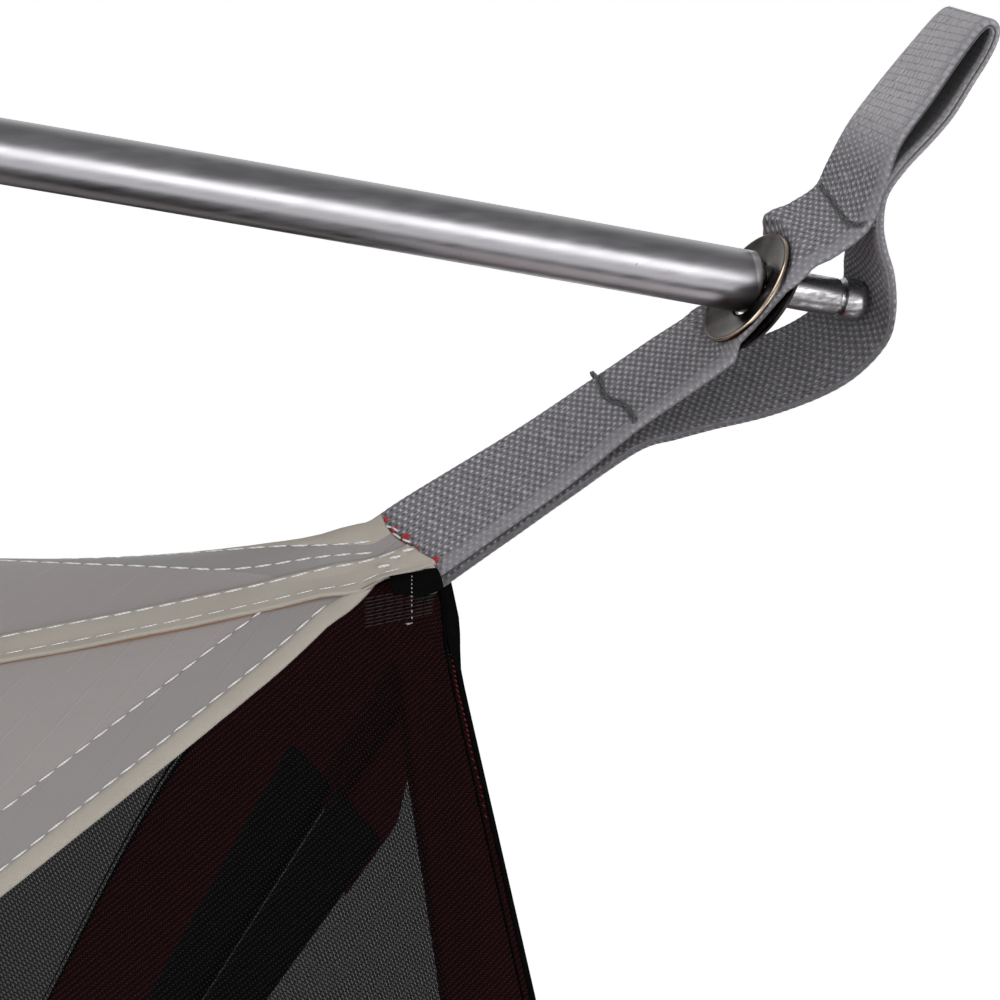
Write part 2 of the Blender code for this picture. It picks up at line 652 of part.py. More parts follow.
def make_hub(end, side_y, look):
    """A moulded hub with three sockets: the ridge pole and two legs."""
    centre = Vector((0.0, -RIDGE_HALF * side_y, HUB_Z))
    ridge = (ridge_curve(-RIDGE_HALF + 0.02) - ridge_curve(-RIDGE_HALF)).normalized()
    leg = (Vector(LEG_POINTS[1]) - Vector(LEG_POINTS[0])).normalized()
    directions = [flip(ridge, 1, side_y), flip(leg, 1, side_y), flip(leg, -1, side_y)]
    name = "hub_" + end
    arms = [cylinder("%s_arm_%d" % (name, arm), centre, way, HUB_ARM, HUB_ARM_R, ROUND_SIDES)
            for arm, way in enumerate(directions)]
    ball = bmesh.new()
    bmesh.ops.create_uvsphere(ball, u_segments=ROUND_SIDES, v_segments=10, radius=HUB_R)
    mesh = bpy.data.meshes.new(name)
    ball.to_mesh(mesh)
    ball.free()
    mesh.materials.append(look)
    hub = bpy.data.objects.new(name, mesh)
    hub.location = centre
    bpy.context.scene.collection.objects.link(hub)
    for arm in arms:
        boolean(hub, "UNION", arm)
    for arm, way in enumerate(directions):
        start = centre + way * (HUB_POLE_START - GAP)
        bore = cylinder("%s_socket_%d" % (name, arm), start, way, HUB_ARM, SOCKET_R, ROUND_SIDES)
        boolean(hub, "DIFFERENCE", bore)
    smooth(hub)


def make_crossing(look):
    """The clamp where the spreader rests across the ridge pole."""
    low, high = ridge_curve(0.0).z, spreader_curve(0.0).z
    bottom, top = low - CLAMP_COVER, high + CLAMP_COVER
    half, inner = CLAMP_HALF, CLAMP_CHAMFER
    outline = [(-half, -half + inner), (-half + inner, -half), (half - inner, -half), (half, -half + inner),
               (half, half - inner), (half - inner, half), (-half + inner, half), (-half, half - inner)]

    def place(point, face):
        return Vector((point[0], point[1], top if face > 0 else bottom))
    clamp = plate("pole_crossing_clamp", [outline], place, look)
    for name, height, way in (("ridge", low, (0, 1, 0)), ("spreader", high, (1, 0, 0))):
        start = Vector((0.0, 0.0, height)) - Vector(way) * 2 * half
        bore = cylinder("crossing_%s_bore" % name, start, way, 4 * half, SOCKET_R, ROUND_SIDES)
        boolean(clamp, "DIFFERENCE", bore)


def make_clip(name, pole, tangent, target, end_gap, look):
    """A canopy clip: a hook round the pole, open at one side, and its stem down to the cloth."""
    down = target - pole
    down -= tangent * down.dot(tangent)
    length = down.length - end_gap
    down.normalize()
    across = tangent.cross(down)

    def polar(radius, degrees):
        return (radius * math.cos(math.radians(degrees)), radius * math.sin(math.radians(degrees)))
    half_stem = CLIP_STEM / 2
    root = math.degrees(math.asin(half_stem / CLIP_OUTER_R))
    first, last = CLIP_MOUTH
    outline = [polar(CLIP_OUTER_R, last + (360 - root - last) * step / 12) for step in range(13)]
    outline += [(length, -half_stem), (length, half_stem), polar(CLIP_OUTER_R, root), polar(CLIP_OUTER_R, first)]
    outline += [polar(SOCKET_R, first - (360 + first - last) * step / 14) for step in range(15)]

    def place(point, face):
        return pole + down * point[0] + across * point[1] + tangent * (face * CLIP_LENGTH / 2)
    smooth(plate(name, [outline], place, look))


def nearest_on_seam(point):
    return min((leg_seam(share / 200) for share in range(1, 200)), key=lambda place: (place - point).length)


def make_clips(look):
    """Clips from the legs to the leg seams, and from the ridge pole to the roof."""
    middle = leg_curve(LEG_CLIP_SHARE)
    tangent = (leg_curve(LEG_CLIP_SHARE + 0.01) - leg_curve(LEG_CLIP_SHARE - 0.01)).normalized()
    seam = nearest_on_seam(middle)
    for end, side_y in (("front", 1), ("back", -1)):
        for hand, side_x in (("right", 1), ("left", -1)):
            make_clip("leg_clip_%s_%s" % (end, hand), flip(middle, side_x, side_y),
                      flip(tangent, side_x, side_y), flip(seam, side_x, side_y), LEG_CLIP_END_GAP, look)
        for name, y in (("ridge_clip_", RIDGE_CLIP_Y), ("hub_clip_", HUB_CLIP_Y)):
            pole = ridge_curve(-y * side_y)
            along = (ridge_curve(-y * side_y + 0.001) - ridge_curve(-y * side_y - 0.001)).normalized()
            share = -y / roof_point(1.0, 1.0).y
            roof = flip(roof_point(1.0, share), 1, side_y)
            fall = (roof_point(1.0, share).z - roof_point(1.0, share + 0.02).z) / (0.02 * y / share)
            end_gap = SHEET / 2 + fall * CLIP_LENGTH / 2 + 2 * GAP
            make_clip(name + end, pole, along, roof, end_gap, look)


def tab_point(station):
    return Vector((TAB_ORIGIN[0] + station[0] / 1000, TAB_ORIGIN[1] + station[1] / 1000))


def tab_sides(stations, closed_from=None, closed_to=None):
    """Both sides of a ply: each point with the tilt of the width there."""
    points = [tab_point(station) for station in stations]
    before = [tab_point(closed_from)] if closed_from else [points[0] * 2 - points[1]]
    after = [tab_point(closed_to)] if closed_to else [points[-1] * 2 - points[-2]]
    run = before + points + after
    left, right = [], []
    for place in range(1, len(run) - 1):
        tangent = (run[place + 1] - run[place - 1]).normalized()
        normal = Vector((-tangent.y, tangent.x)) * (TAB_THICK / 2)
        tilt = stations[place - 1][2]
        left.append((*(run[place] + normal), tilt))
        right.append((*(run[place] - normal), tilt))
    return left, right


def make_apex_tab(hand, side, look, metal):
    """The folded webbing tab: sewn plies, an eyelet ply, a ply round the pole tip and a pull loop."""
    front_left, front_right = tab_sides(TAB_FRONT, None, TAB_LOOP[-1])
    rear_left, rear_right = tab_sides(TAB_REAR, None, TAB_LOOP[0])
    loop_left, loop_right = tab_sides(TAB_LOOP, TAB_REAR[-1], TAB_FRONT[-1])
    outline = rear_right + loop_right + list(reversed(front_left))
    tip_hole = front_right[TAB_FUSED:] + list(reversed(rear_left[TAB_FUSED:]))
    pull_hole = loop_left
    grommet = tab_point(TAB_FRONT[TAB_EYELET])

    def place(point, face):
        tilt = math.radians(point[2])
        width = Vector((0.0, -math.cos(tilt), math.sin(tilt)))
        near = max(0.0, 1 - (Vector(point[:2]) - grommet).length / TAB_SPREAD_REACH)
        half = TAB_WIDTH / 2 + TAB_SPREAD * min(1.0, 2 * near)
        return flip(Vector((point[0], 0.0, point[1])) + width * (face * half), side, side)
    tab = plate("apex_webbing_" + hand, [outline, tip_hole, pull_hole], place, look)
    axis = Vector(GROMMET_TILT).normalized()
    centre = Vector((grommet.x, 0.0, grommet.y))
    reach = GROMMET_HALF + GAP
    sleeve = cylinder("apex_eyelet_" + hand, flip(centre - axis * reach, side, side), flip(axis, side, side),
                      2 * reach, BARREL_R + GAP, GROMMET_SIDES)
    boolean(tab, "DIFFERENCE", sleeve)
    round_r, round_z = GROMMET_R - GROMMET_ROUND, GROMMET_HALF - GROMMET_ROUND
    lip_z = GROMMET_LIP - GROMMET_HALF
    profile = ((round_r, GROMMET_HALF), (GROMMET_R, round_z), (GROMMET_R, FLANGE_IN), (BARREL_R, FLANGE_IN),
               (BARREL_R, -FLANGE_IN), (GROMMET_R, -FLANGE_IN), (GROMMET_R, -round_z), (round_r, -GROMMET_HALF),
               (LIP_R, -GROMMET_HALF), (LIP_R, lip_z), (MOUTH_R, lip_z), (MOUTH_R, 0.0), (FLARE_R, GROMMET_HALF))
    up = axis.orthogonal().normalized()
    across = axis.cross(up)
    points, faces = [], []
    count = len(profile)
    for step in range(GROMMET_SIDES):
        turn = 2 * math.pi * step / GROMMET_SIDES
        way = up * math.cos(turn) + across * math.sin(turn)
        points += [flip(centre + way * radius + axis * height, side, side) for radius, height in profile]
        for corner in range(count):
            after, ring, next_ring = (corner + 1) % count, step * count, (step + 1) % GROMMET_SIDES * count
            faces.append((ring + corner, ring + after, next_ring + after, next_ring + corner))
    smooth(add_object("apex_grommet_" + hand, points, faces, metal), 40)


def make_corner_tabs(look):
    """Webbing tabs at the tub's corners, with an eyelet for the foot and a hole for a stake."""
    corner = Vector((FLOOR_HALF[0] - CORNER_TAB_INSET, CORNER_TAB_INSET - FLOOR_HALF[1], 0.0))
    foot = leg_curve(FOOT_SHARE)
    out = Vector((foot.x - corner.x, foot.y - corner.y, 0.0)).normalized()
    across = Vector((-out.y, out.x, 0.0))
    for end, side_y in (("front", 1), ("back", -1)):
        for hand, side_x in (("right", 1), ("left", -1)):
            outline = [(place, height + CORNER_TAB_THICK / 2) for place, height in CORNER_TAB]
            outline += [(place, height - CORNER_TAB_THICK / 2) for place, height in reversed(CORNER_TAB)]

            def place(point, face):
                middle = corner + out * point[0] + Vector((0.0, 0.0, point[1]))
                return flip(middle + across * (face * CORNER_TAB_HALF), side_x, side_y)
            name = "corner_tab_%s_%s" % (end, hand)
            tab = plate(name, [outline], place, look)
            foot_reach = Vector((foot.x - corner.x, foot.y - corner.y)).length
            for part, (reach, radius) in (("foot", (foot_reach, FOOT_HOLE_R)), ("stake", STAKE_HOLE)):
                start = flip(corner + out * reach + Vector((0.0, 0.0, -0.005)), side_x, side_y)
                hole = cylinder("%s_%s_hole" % (name, part), start, (0, 0, 1), 0.03, radius, 12)
                boolean(tab, "DIFFERENCE", hole)


def main():
    clear_scene()
    red = material("floor_cloth", (0.10, 0.018, 0.016), 0.75)
    roof = material("roof_cloth", (0.37, 0.33, 0.32), 0.75)
    cream = material("seam_tape", (0.58, 0.54, 0.45), 0.8)
    mesh = material("canopy_mesh", (0.022, 0.018, 0.018), 0.85)
    wall = material("wall_cloth", (0.085, 0.016, 0.016), 0.8)
    door = material("door_mesh", (0.15, 0.145, 0.15), 0.85)
    zipper = material("zip_tape", (0.012, 0.011, 0.012), 0.7)
    grey = material("webbing", (0.30, 0.29, 0.31), 0.9)
    pole = material("pole_aluminium", (0.42, 0.41, 0.43), 0.33, 1.0)
    tip = material("tip_aluminium", (0.55, 0.55, 0.57), 0.3, 1.0)
    eyelet = material("eyelet_gunmetal", (0.09, 0.08, 0.075), 0.28, 1.0)
    black = material("moulded_plastic", (0.025, 0.025, 0.027), 0.5)
    slider_metal = material("slider_metal", (0.06, 0.06, 0.065), 0.4, 1.0)
    make_floor(red)
    make_roof(roof, cream)
    make_mesh_panels(mesh)
    for hand, side in (("right", 1), ("left", -1)):
        make_side_wall(hand, side, wall)
        make_zips(hand, side, zipper)
        make_door(hand, side, door)
        make_sliders(hand, side, slider_metal)
        make_apex_tab(hand, side, grey, eyelet)
    make_spreader(pole, tip)
    make_ridge(pole)
    make_legs(pole)
    for end, side_y in (("front", 1), ("back", -1)):
        make_hub(end, side_y, black)
    make_crossing(black)
    make_clips(black)
    make_corner_tabs(grey)


main()
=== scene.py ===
"""A pitched two-person tent: looks for every piece of it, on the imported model's frame.

X runs across the tent, Y along it and Z up, in metres. The left side is the right side
turned half round, so most sections make a right piece and turn it for the left.
"""
import math

import bmesh
import bpy
from mathutils import Matrix, Vector, noise


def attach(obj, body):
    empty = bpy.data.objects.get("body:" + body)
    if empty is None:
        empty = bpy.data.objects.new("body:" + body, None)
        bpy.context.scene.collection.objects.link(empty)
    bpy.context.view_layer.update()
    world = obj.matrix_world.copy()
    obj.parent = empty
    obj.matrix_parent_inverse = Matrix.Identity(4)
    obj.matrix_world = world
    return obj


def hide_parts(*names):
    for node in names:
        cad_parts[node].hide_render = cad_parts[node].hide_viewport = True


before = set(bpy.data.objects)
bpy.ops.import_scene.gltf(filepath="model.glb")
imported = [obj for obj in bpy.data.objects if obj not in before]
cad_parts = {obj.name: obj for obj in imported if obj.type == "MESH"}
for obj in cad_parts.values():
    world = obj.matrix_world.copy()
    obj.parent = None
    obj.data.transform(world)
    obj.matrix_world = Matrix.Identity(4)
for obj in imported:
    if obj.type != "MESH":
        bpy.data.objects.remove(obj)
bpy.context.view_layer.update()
scene = bpy.context.scene
scene.view_settings.view_transform = "Standard"


# Camera. The photograph looks along the tent, 13 degrees off its length and 30 degrees down,
# through a long lens, at the eyelet on the end of the cross pole.
turned, lowered = math.radians(13.0), math.radians(30.0)
view_line = Vector((math.sin(turned) * math.cos(lowered), math.cos(turned) * math.cos(lowered),
                    -math.sin(lowered)))
view_right = Vector((math.cos(turned), -math.sin(turned), 0.0))
view_up = view_right.cross(view_line)
lens = bpy.data.cameras.new("camera")
lens.lens = 200.0
lens.sensor_width = 36.0
lens.clip_start = 0.05
lens.clip_end = 400.0
camera = bpy.data.objects.new("camera", lens)
scene.collection.objects.link(camera)
camera.matrix_world = (Matrix.Translation((0.4178, -0.6392, 1.3353))
                       @ Matrix((view_right, view_up, -view_line)).transposed().to_4x4())
scene.camera = camera


# Studio. A white floor that keeps the tent's soft shadow, a white world, a large lamp behind
# the camera and weaker ones above and to the left, and two dark cards seen only in reflections.
def node(tree, kind, values=(), **settings):
    """A shader node with its sockets joined or set; a colour is red, green and blue."""
    made = tree.nodes.new("ShaderNode" + kind)
    for key, value in settings.items():
        setattr(made, key, value)
    for socket, value in dict(values).items():
        if isinstance(value, bpy.types.NodeSocket):
            tree.links.new(value, made.inputs[socket])
        else:
            colour = made.inputs[socket].type == "RGBA"
            made.inputs[socket].default_value = (*value, 1.0) if colour else value
    return made


def calc(tree, operation, first, second=0.0, third=0.0):
    return node(tree, "Math", {0: first, 1: second, 2: third}, operation=operation).outputs[0]


def mixed(tree, share, first, second):
    return node(tree, "Mix", {0: share, 6: first, 7: second}, data_type="RGBA").outputs[2]


def ranged(tree, value, low, high, to_low=0.0, to_high=1.0, kind="SMOOTHSTEP"):
    return node(tree, "MapRange", {0: value, 1: low, 2: high, 3: to_low, 4: to_high},
                interpolation_type=kind).outputs[0]


def coords(tree, kind="Object"):
    return node(tree, "TexCoord").outputs[kind]


def parts(tree, vector):
    return node(tree, "SeparateXYZ", {0: vector}).outputs


def fuzz(tree, scale, detail=2.0, where=None, stretched=None):
    """Noise from 0 to 1 over the object's own coordinates or another vector, stretched by axis."""
    where = where or coords(tree)
    if stretched:
        where = node(tree, "Mapping", {0: where, 3: stretched}).outputs[0]
    return node(tree, "TexNoise", {"Vector": where, "Scale": scale, "Detail": detail}).outputs[0]


def new_look(name, colour, rough, metallic=0.0, **more):
    made = bpy.data.materials.new(name)
    made.use_nodes = True
    surface = made.node_tree.nodes["Principled BSDF"]
    surface.inputs["Base Color"].default_value = (*colour, 1.0)
    surface.inputs["Roughness"].default_value = rough
    surface.inputs["Metallic"].default_value = metallic
    sockets = {"specular": "Specular IOR Level", "sheen": "Sheen Weight"}
    for key, value in more.items():
        surface.inputs[sockets[key]].default_value = value
    return made, made.node_tree, surface


def painted(surface, value, socket="Base Color"):
    surface.id_data.links.new(value, surface.inputs[socket])


def bumped(surface, height, strength, depth):
    relief = node(surface.id_data, "Bump", {"Height": height, "Strength": strength, "Distance": depth})
    painted(surface, relief.outputs[0], "Normal")


def through_mix(tree, share, surface, other):
    """The material's output: the surface mixed with another shader."""
    both = node(tree, "MixShader", {0: share, 1: surface.outputs[0], 2: other.outputs[0]})
    tree.links.new(both.outputs[0], tree.nodes["Material Output"].inputs["Surface"])


def built(name, work, look):
    mesh = bpy.data.meshes.new(name)
    work.to_mesh(mesh)
    work.free()
    mesh.materials.append(look)
    made = bpy.data.objects.new(name, mesh)
    scene.collection.objects.link(made)
    return made


floor_look, tree, floor_matt = new_look("studio_floor", (0.72, 0.72, 0.72), 1.0, specular=0.0)
ray = node(tree, "LightPath")
seen = calc(tree, "MAXIMUM", ray.outputs["Is Camera Ray"],
            calc(tree, "MAXIMUM", ray.outputs["Is Glossy Ray"], ray.outputs["Is Transmission Ray"]))
lift = node(tree, "Emission", {"Color": (1.0, 1.0, 1.0), "Strength": calc(tree, "MULTIPLY", seen, 0.6)})
both = node(tree, "AddShader", {0: floor_matt.outputs[0], 1: lift.outputs[0]})
tree.links.new(both.outputs[0], tree.nodes["Material Output"].inputs["Surface"])
ground = bmesh.new()
bmesh.ops.create_circle(ground, cap_ends=True, segments=96, radius=120.0,
                        matrix=Matrix.Translation((0, 0, -0.0006)))
built("studio_floor", ground, floor_look)

sky = bpy.data.worlds.new("studio")
scene.world = sky
sky.use_nodes = True
tree = sky.node_tree
backing = tree.nodes["Background"]
ray = node(tree, "LightPath")
dome = ranged(tree, parts(tree, coords(tree, "Generated"))[2], 0.15, 0.75, 0.85, 0.22)
backing.inputs["Color"].default_value = (1.0, 1.0, 1.0, 1.0)
level = node(tree, "Mix", {0: ray.outputs["Is Camera Ray"], 2: dome, 3: 1.0})
tree.links.new(level.outputs[0], backing.inputs["Strength"])


def lamp(name, place, towards, size, power, mirrored=True):
    light = bpy.data.lights.new(name, "AREA")
    light.shape = "RECTANGLE"
    light.size, light.size_y = size
    light.energy = power
    made = bpy.data.objects.new(name, light)
    scene.collection.objects.link(made)
    made.matrix_world = (Matrix.Translation(place)
                         @ (Vector(place) - Vector(towards)).to_track_quat("Z", "Y").to_matrix().to_4x4())
    made.visible_glossy = mirrored


corner_of_view = (0.58, 0.0, 0.95)
lamp("key", (1.9, -3.2, 2.3), corner_of_view, (3.0, 1.5), 42.0)
lamp("fill", (1.9, -3.3, 2.4), corner_of_view, (3.0, 3.0), 42.0, mirrored=False)
lamp("top", (-0.6, 0.4, 4.0), corner_of_view, (2.0, 2.0), 30.0)
lamp("left", (-3.4, -1.6, 2.2), corner_of_view, (1.6, 2.2), 36.0)

card_look = new_look("shade_card", (0.03, 0.03, 0.03), 1.0, specular=0.0)[0]
for place, size in (((0.35, -0.95, 0.25), (3.4, 0.42)), ((0.3, 0.1, 0.0), (3.0, 0.6))):
    card = bmesh.new()
    bmesh.ops.create_grid(card, x_segments=1, y_segments=1, size=0.5)
    facing = (Vector((0.3, 0.0, 1.05)) - Vector(place)).to_track_quat("Z", "Y").to_matrix().to_4x4()
    bmesh.ops.transform(card, verts=card.verts,
                        matrix=Matrix.Translation(place) @ facing @ Matrix.Diagonal((*size, 1.0, 1.0)))
    made = built("shade_card", card, card_look)
    made.visible_camera = made.visible_diffuse = made.visible_shadow = made.visible_transmission = False


# Poles. Satin drawn aluminium tube of 8.5 mm, three sections across the tent and two along
# it, pushed into one another with ferrules; the cross pole rises over the roof to each eyelet.
hands, tent_ends = (("right", 1), ("left", -1)), (("front", 1), ("back", -1))


def charted(work, chart):
    """Give every corner of every face its UV, from where it lies."""
    sewn = work.loops.layers.uv.verify()
    for face in work.faces:
        for loop in face.loops:
            loop[sewn].uv = chart(loop.vert.co)


def moved(work, shape):
    for vert in work.verts:
        vert.co = shape(vert.co)


def formed(across, along, shape, chart=None, joined=False, capped=False):
    """A grid of cells moved to shape(u, v), with chart(u, v) as its UV map.

    A tube's two long edges are joined, and its ends capped."""
    work = bmesh.new()
    bmesh.ops.create_grid(work, x_segments=across, y_segments=along, size=1.0)
    work.loops.layers.uv.new("UVMap")

    def shared(give):
        return lambda at: give((at.x + 1) / 2, (at.y + 1) / 2)
    charted(work, shared(chart or (lambda u, v: (u, v))))
    moved(work, shared(shape))
    if joined or capped:
        bmesh.ops.remove_doubles(work, verts=work.verts, dist=1e-7)
    if capped:
        bmesh.ops.holes_fill(work, edges=[edge for edge in work.edges if edge.is_boundary])
    bmesh.ops.recalc_face_normals(work, faces=work.faces)
    return work


def piece(name, work, look, body="tent"):
    made = built(name, work, look)
    made.data.shade_smooth()
    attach(made, body)
    return made


def stand_in(cad_node):
    """The piece takes a CAD node's place."""
    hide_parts(cad_node)


def thicken(made, thickness):
    cloth = made.modifiers.new("cloth", "SOLIDIFY")
    cloth.thickness = thickness
    cloth.offset = 0.0


def repaint(look, *names):
    for name in names:
        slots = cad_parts[name].data.materials
        slots.clear()
        slots.append(look)


def spreader_curve(x):
    return Vector((x, 0.0, 0.9857 + 0.1191 * math.cos(math.pi * x / 1.202)))


def turned_piece(profile, hand_side, sides):
    """A turned piece on the cross pole: profile lists (place along the pole, radius)."""
    rings = []
    for place, radius in profile:
        place *= hand_side
        tangent = (spreader_curve(place + 0.0005) - spreader_curve(place - 0.0005)).normalized()
        across = tangent.cross(Vector((0, 1, 0))).normalized()
        rings.append((spreader_curve(place), across, tangent.cross(across), radius))

    def shape(u, v):
        middle, across, up, radius = rings[round(v * (len(rings) - 1))]
        angle = math.tau * u
        return middle + (across * math.cos(angle) + up * math.sin(angle)) * radius
    return formed(sides, len(rings) - 1, shape, joined=True)


pole_look, tree, surface = new_look("drawn_aluminium", (0.40, 0.39, 0.41), 0.34, 1.0)
draw_lines = fuzz(tree, 1.0, 3.0, stretched=(9.0, 900.0, 900.0))
specks = fuzz(tree, 1400.0, 2.0)
tone = mixed(tree, draw_lines, (0.34, 0.33, 0.35), (0.47, 0.46, 0.48))
tone = mixed(tree, ranged(tree, specks, 0.71, 0.80), tone, (0.22, 0.21, 0.21))
cut_end = calc(tree, "ABSOLUTE", parts(tree, coords(tree))[0])
tone = mixed(tree, ranged(tree, cut_end, 0.5999, 0.6001), tone, (0.85, 0.84, 0.84))
painted(surface, tone)
painted(surface, ranged(tree, draw_lines, 0.2, 0.8, 0.27, 0.40), "Roughness")
bumped(surface, draw_lines, 0.25, 0.00004)
repaint(pole_look, "spreader_middle", "ridge_pole_front", "ridge_pole_back",
        *[f"leg_{part}_{end}_{hand}" for part in ("upper", "lower") for end in ("front", "back")
          for hand in ("right", "left")])

# The end section, from its ferrule to its cut end and a little way back up the bore.
tube_r, bore_r = 0.00425, 0.00365
tube_end = 0.6003
section = [(0.1653, 0.00335), (0.2153, 0.00335)]
section += [(0.2153 + (tube_end - 0.0005 - 0.2153) * step / 40, tube_r) for step in range(41)]
section += [(tube_end - 0.0002, tube_r - 0.00010), (tube_end, tube_r - 0.00028),
            (tube_end, bore_r + 0.0001), (tube_end - 0.0003, bore_r), (0.585, bore_r)]
for hand, side in hands:
    made = piece("cross_pole_end_" + hand, turned_piece(section, side, 64), pole_look)
    made.data.set_sharp_from_angle(angle=math.radians(38))
    stand_in("spreader_" + hand)


# Pole tips. A turned aluminium plug in each end of the cross pole, necked down to 5 mm, with
# a pressed-on cap that the eyelet has scuffed.
tip_look, tree, surface = new_look("scuffed_tip", (0.5, 0.49, 0.51), 0.3, 1.0)
scuffs = fuzz(tree, 1.0, 4.0, stretched=(700.0, 1800.0, 1800.0))
painted(surface, mixed(tree, ranged(tree, scuffs, 0.35, 0.62), (0.26, 0.255, 0.265), (0.50, 0.49, 0.51)))
painted(surface, ranged(tree, scuffs, 0.3, 0.7, 0.42, 0.24), "Roughness")
bumped(surface, scuffs, 0.12, 0.00004)
tip = [(0.5855, 0.0), (0.5855, 0.0034), (0.6007, 0.0034), (0.6010, 0.0031), (0.6013, 0.0026),
       (0.606, 0.0026), (0.6118, 0.0026), (0.6121, 0.0025), (0.6122, 0.0021), (0.6127, 0.0021),
       (0.6128, 0.0028), (0.6131, 0.0029), (0.6147, 0.00292), (0.6154, 0.0028), (0.6158, 0.0024),
       (0.6160, 0.0018), (0.6160, 0.0)]
for hand, side in hands:
    made = piece("pole_tip_" + hand, turned_piece(tip, side, 48), tip_look)
    made.data.set_sharp_from_angle(angle=math.radians(45))
    stand_in("spreader_tip_" + hand)


# Apex tabs. One strap of 12 mm grey polyester webbing at each end of the cross pole: an upper
# ply with the eyelet, a pull loop, and a lower ply that runs back under the pole's tip.
def flipped(point, side_x, side_y):
    return Vector((point[0] * side_x, point[1] * side_y, point[2]))


def eased(value, low, high):
    share = min(max((value - low) / (high - low), 0.0), 1.0)
    return share * share * (3 - 2 * share)


def through(points, share):
    """A smooth line through points of any size, share 0 to 1 along their count."""
    place = min(max(share, 0.0), 1.0) * (len(points) - 1)
    first = min(int(place), len(points) - 2)
    t = place - first
    four = [points[min(max(first + step, 0), len(points) - 1)] for step in (-1, 0, 1, 2)]
    return [0.5 * (2 * b + (c - a) * t + (2 * a - 5 * b + 4 * c - d) * t * t
                   + (3 * b - a - 3 * c + d) * t ** 3) for a, b, c, d in zip(*four)]


# Stations in millimetres from (600, 0, 985): x and z of the middle, then the width's direction.
strap_run = [
    (-50.0, -36.2, 3.6, -9.6, -6.2), (-46.8, -33.7, 3.6, -9.7, -6.0), (-37.8, -28.2, 3.6, -10.6, -4.4),
    (-28.5, -22.5, 3.3, -11.1, -3.1), (-18.8, -15.7, 3.3, -11.5, -1.2), (-11.0, -10.7, 2.9, -11.6, -1.2),
    (-3.2, -5.5, 3.2, -11.6, -0.6), (1.0, -0.3, 2.9, -11.6, -0.7), (4.9, 6.1, 1.9, -11.4, -2.0),
    (8.5, 7.9, 2.6, -11.6, -1.9), (12.4, 10.6, 3.3, -11.4, -1.0), (14.4, 14.7, 4.0, -11.3, 0.0),
    (17.0, 21.0, 3.7, -11.3, 1.6), (21.4, 27.4, 4.2, -11.0, 2.6), (25.8, 33.5, 3.6, -11.0, 3.3),
    (28.3, 36.5, 2.8, -11.2, 3.1), (29.7, 37.1, 2.8, -11.2, 2.8), (30.2, 35.6, 3.2, -11.3, 2.2),
    (28.4, 31.6, 3.5, -11.3, 2.0), (24.8, 26.3, 3.5, -11.3, 2.0), (21.3, 22.0, 3.5, -11.3, 2.0),
    (17.6, 18.0, 3.5, -11.3, 2.0), (15.2, 14.0, 3.0, -11.3, 2.0), (15.1, 9.0, 2.2, -11.0, 3.2),
    (16.1, 4.7, 1.5, -11.0, 4.0), (16.7, 1.2, 2.6, -11.1, 2.6), (16.8, -3.3, 3.2, -11.3, 1.0),
    (15.0, -6.9, 5.1, -10.8, -1.5), (11.3, -10.3, 4.6, -10.5, -3.5), (6.7, -12.5, 3.0, -10.8, -4.4),
    (-0.1, -14.4, 2.2, -11.0, -4.4), (-7.2, -15.9, 2.0, -11.5, -2.9), (-12.7, -16.9, 2.2, -11.5, -2.8),
    (-18.4, -18.4, 3.0, -11.4, -2.2), (-27.7, -23.9, 3.3, -11.1, -3.1), (-37.0, -29.6, 3.6, -10.6, -4.4),
    (-46.0, -35.1, 3.6, -9.7, -6.0), (-48.8, -37.2, 3.6, -9.6, -6.2)]
strap_width, strap_thick = 0.012, 0.00125
strap_steps = 760
weave_along, weave_across = 0.00108, 0.0015
# The eyelet's middle, and the line through its hole.
eyelet_centre = Vector((0.6005, 0.0, 0.9844))
eyelet_axis = Vector((-0.767, 0.073, 0.638)).normalized()

strap_line = []
for step in range(2001):
    x, z, *width = through(strap_run, step / 2000)
    strap_line.append((Vector((0.600 + x / 1000, 0.0, 0.985 + z / 1000)), Vector(width).normalized()))
reach = [0.0]
for before, after in zip(strap_line, strap_line[1:]):
    reach.append(reach[-1] + (after[0] - before[0]).length)
strap_length = reach[-1]


def strap_frame(share):
    """The strap's middle, its width and its outward normal at a share of its length."""
    target = share * strap_length
    low, high = 0, len(reach) - 1
    while high - low > 1:
        half = (low + high) // 2
        low, high = (half, high) if reach[half] <= target else (low, half)
    t = (target - reach[low]) / max(reach[high] - reach[low], 1e-9)
    middle = strap_line[low][0].lerp(strap_line[high][0], t)
    width = strap_line[low][1].lerp(strap_line[high][1], t).normalized()
    first, last = max(low - 4, 0), min(high + 4, len(reach) - 1)
    tangent = (strap_line[last][0] - strap_line[first][0]).normalized()
    normal = width.cross(tangent).normalized()
    return middle, width, normal


def strap_share(station):
    """The share of the strap's length at one of its stations."""
    return reach[round(station / (len(strap_run) - 1) * 2000)] / strap_length


def strap_section(u):
    """The strap's rounded section: a place across its width, -1 to 1, and through its thickness."""
    turn = 4 * u
    if turn < 1.8:
        return -1 + 2 * (turn / 1.8), 1.0
    if turn < 2:
        angle = math.pi * (turn - 1.8) / 0.2
        return 1 + 0.05 * math.sin(angle), math.cos(angle)
    if turn < 3.8:
        return 1 - 2 * ((turn - 2) / 1.8), -1.0
    angle = math.pi * (turn - 3.8) / 0.2
    return -1 - 0.05 * math.sin(angle), -math.cos(angle)


loop_inner = [strap_share(station) * strap_length for station in (10.8, 12.0, 18.2, 19.6)]
eyelet_along = strap_share(7) * strap_length
outward = 1 if strap_frame(0.1)[2].z > 0 else -1
strap_frames = [strap_frame(step / strap_steps) for step in range(strap_steps + 1)]


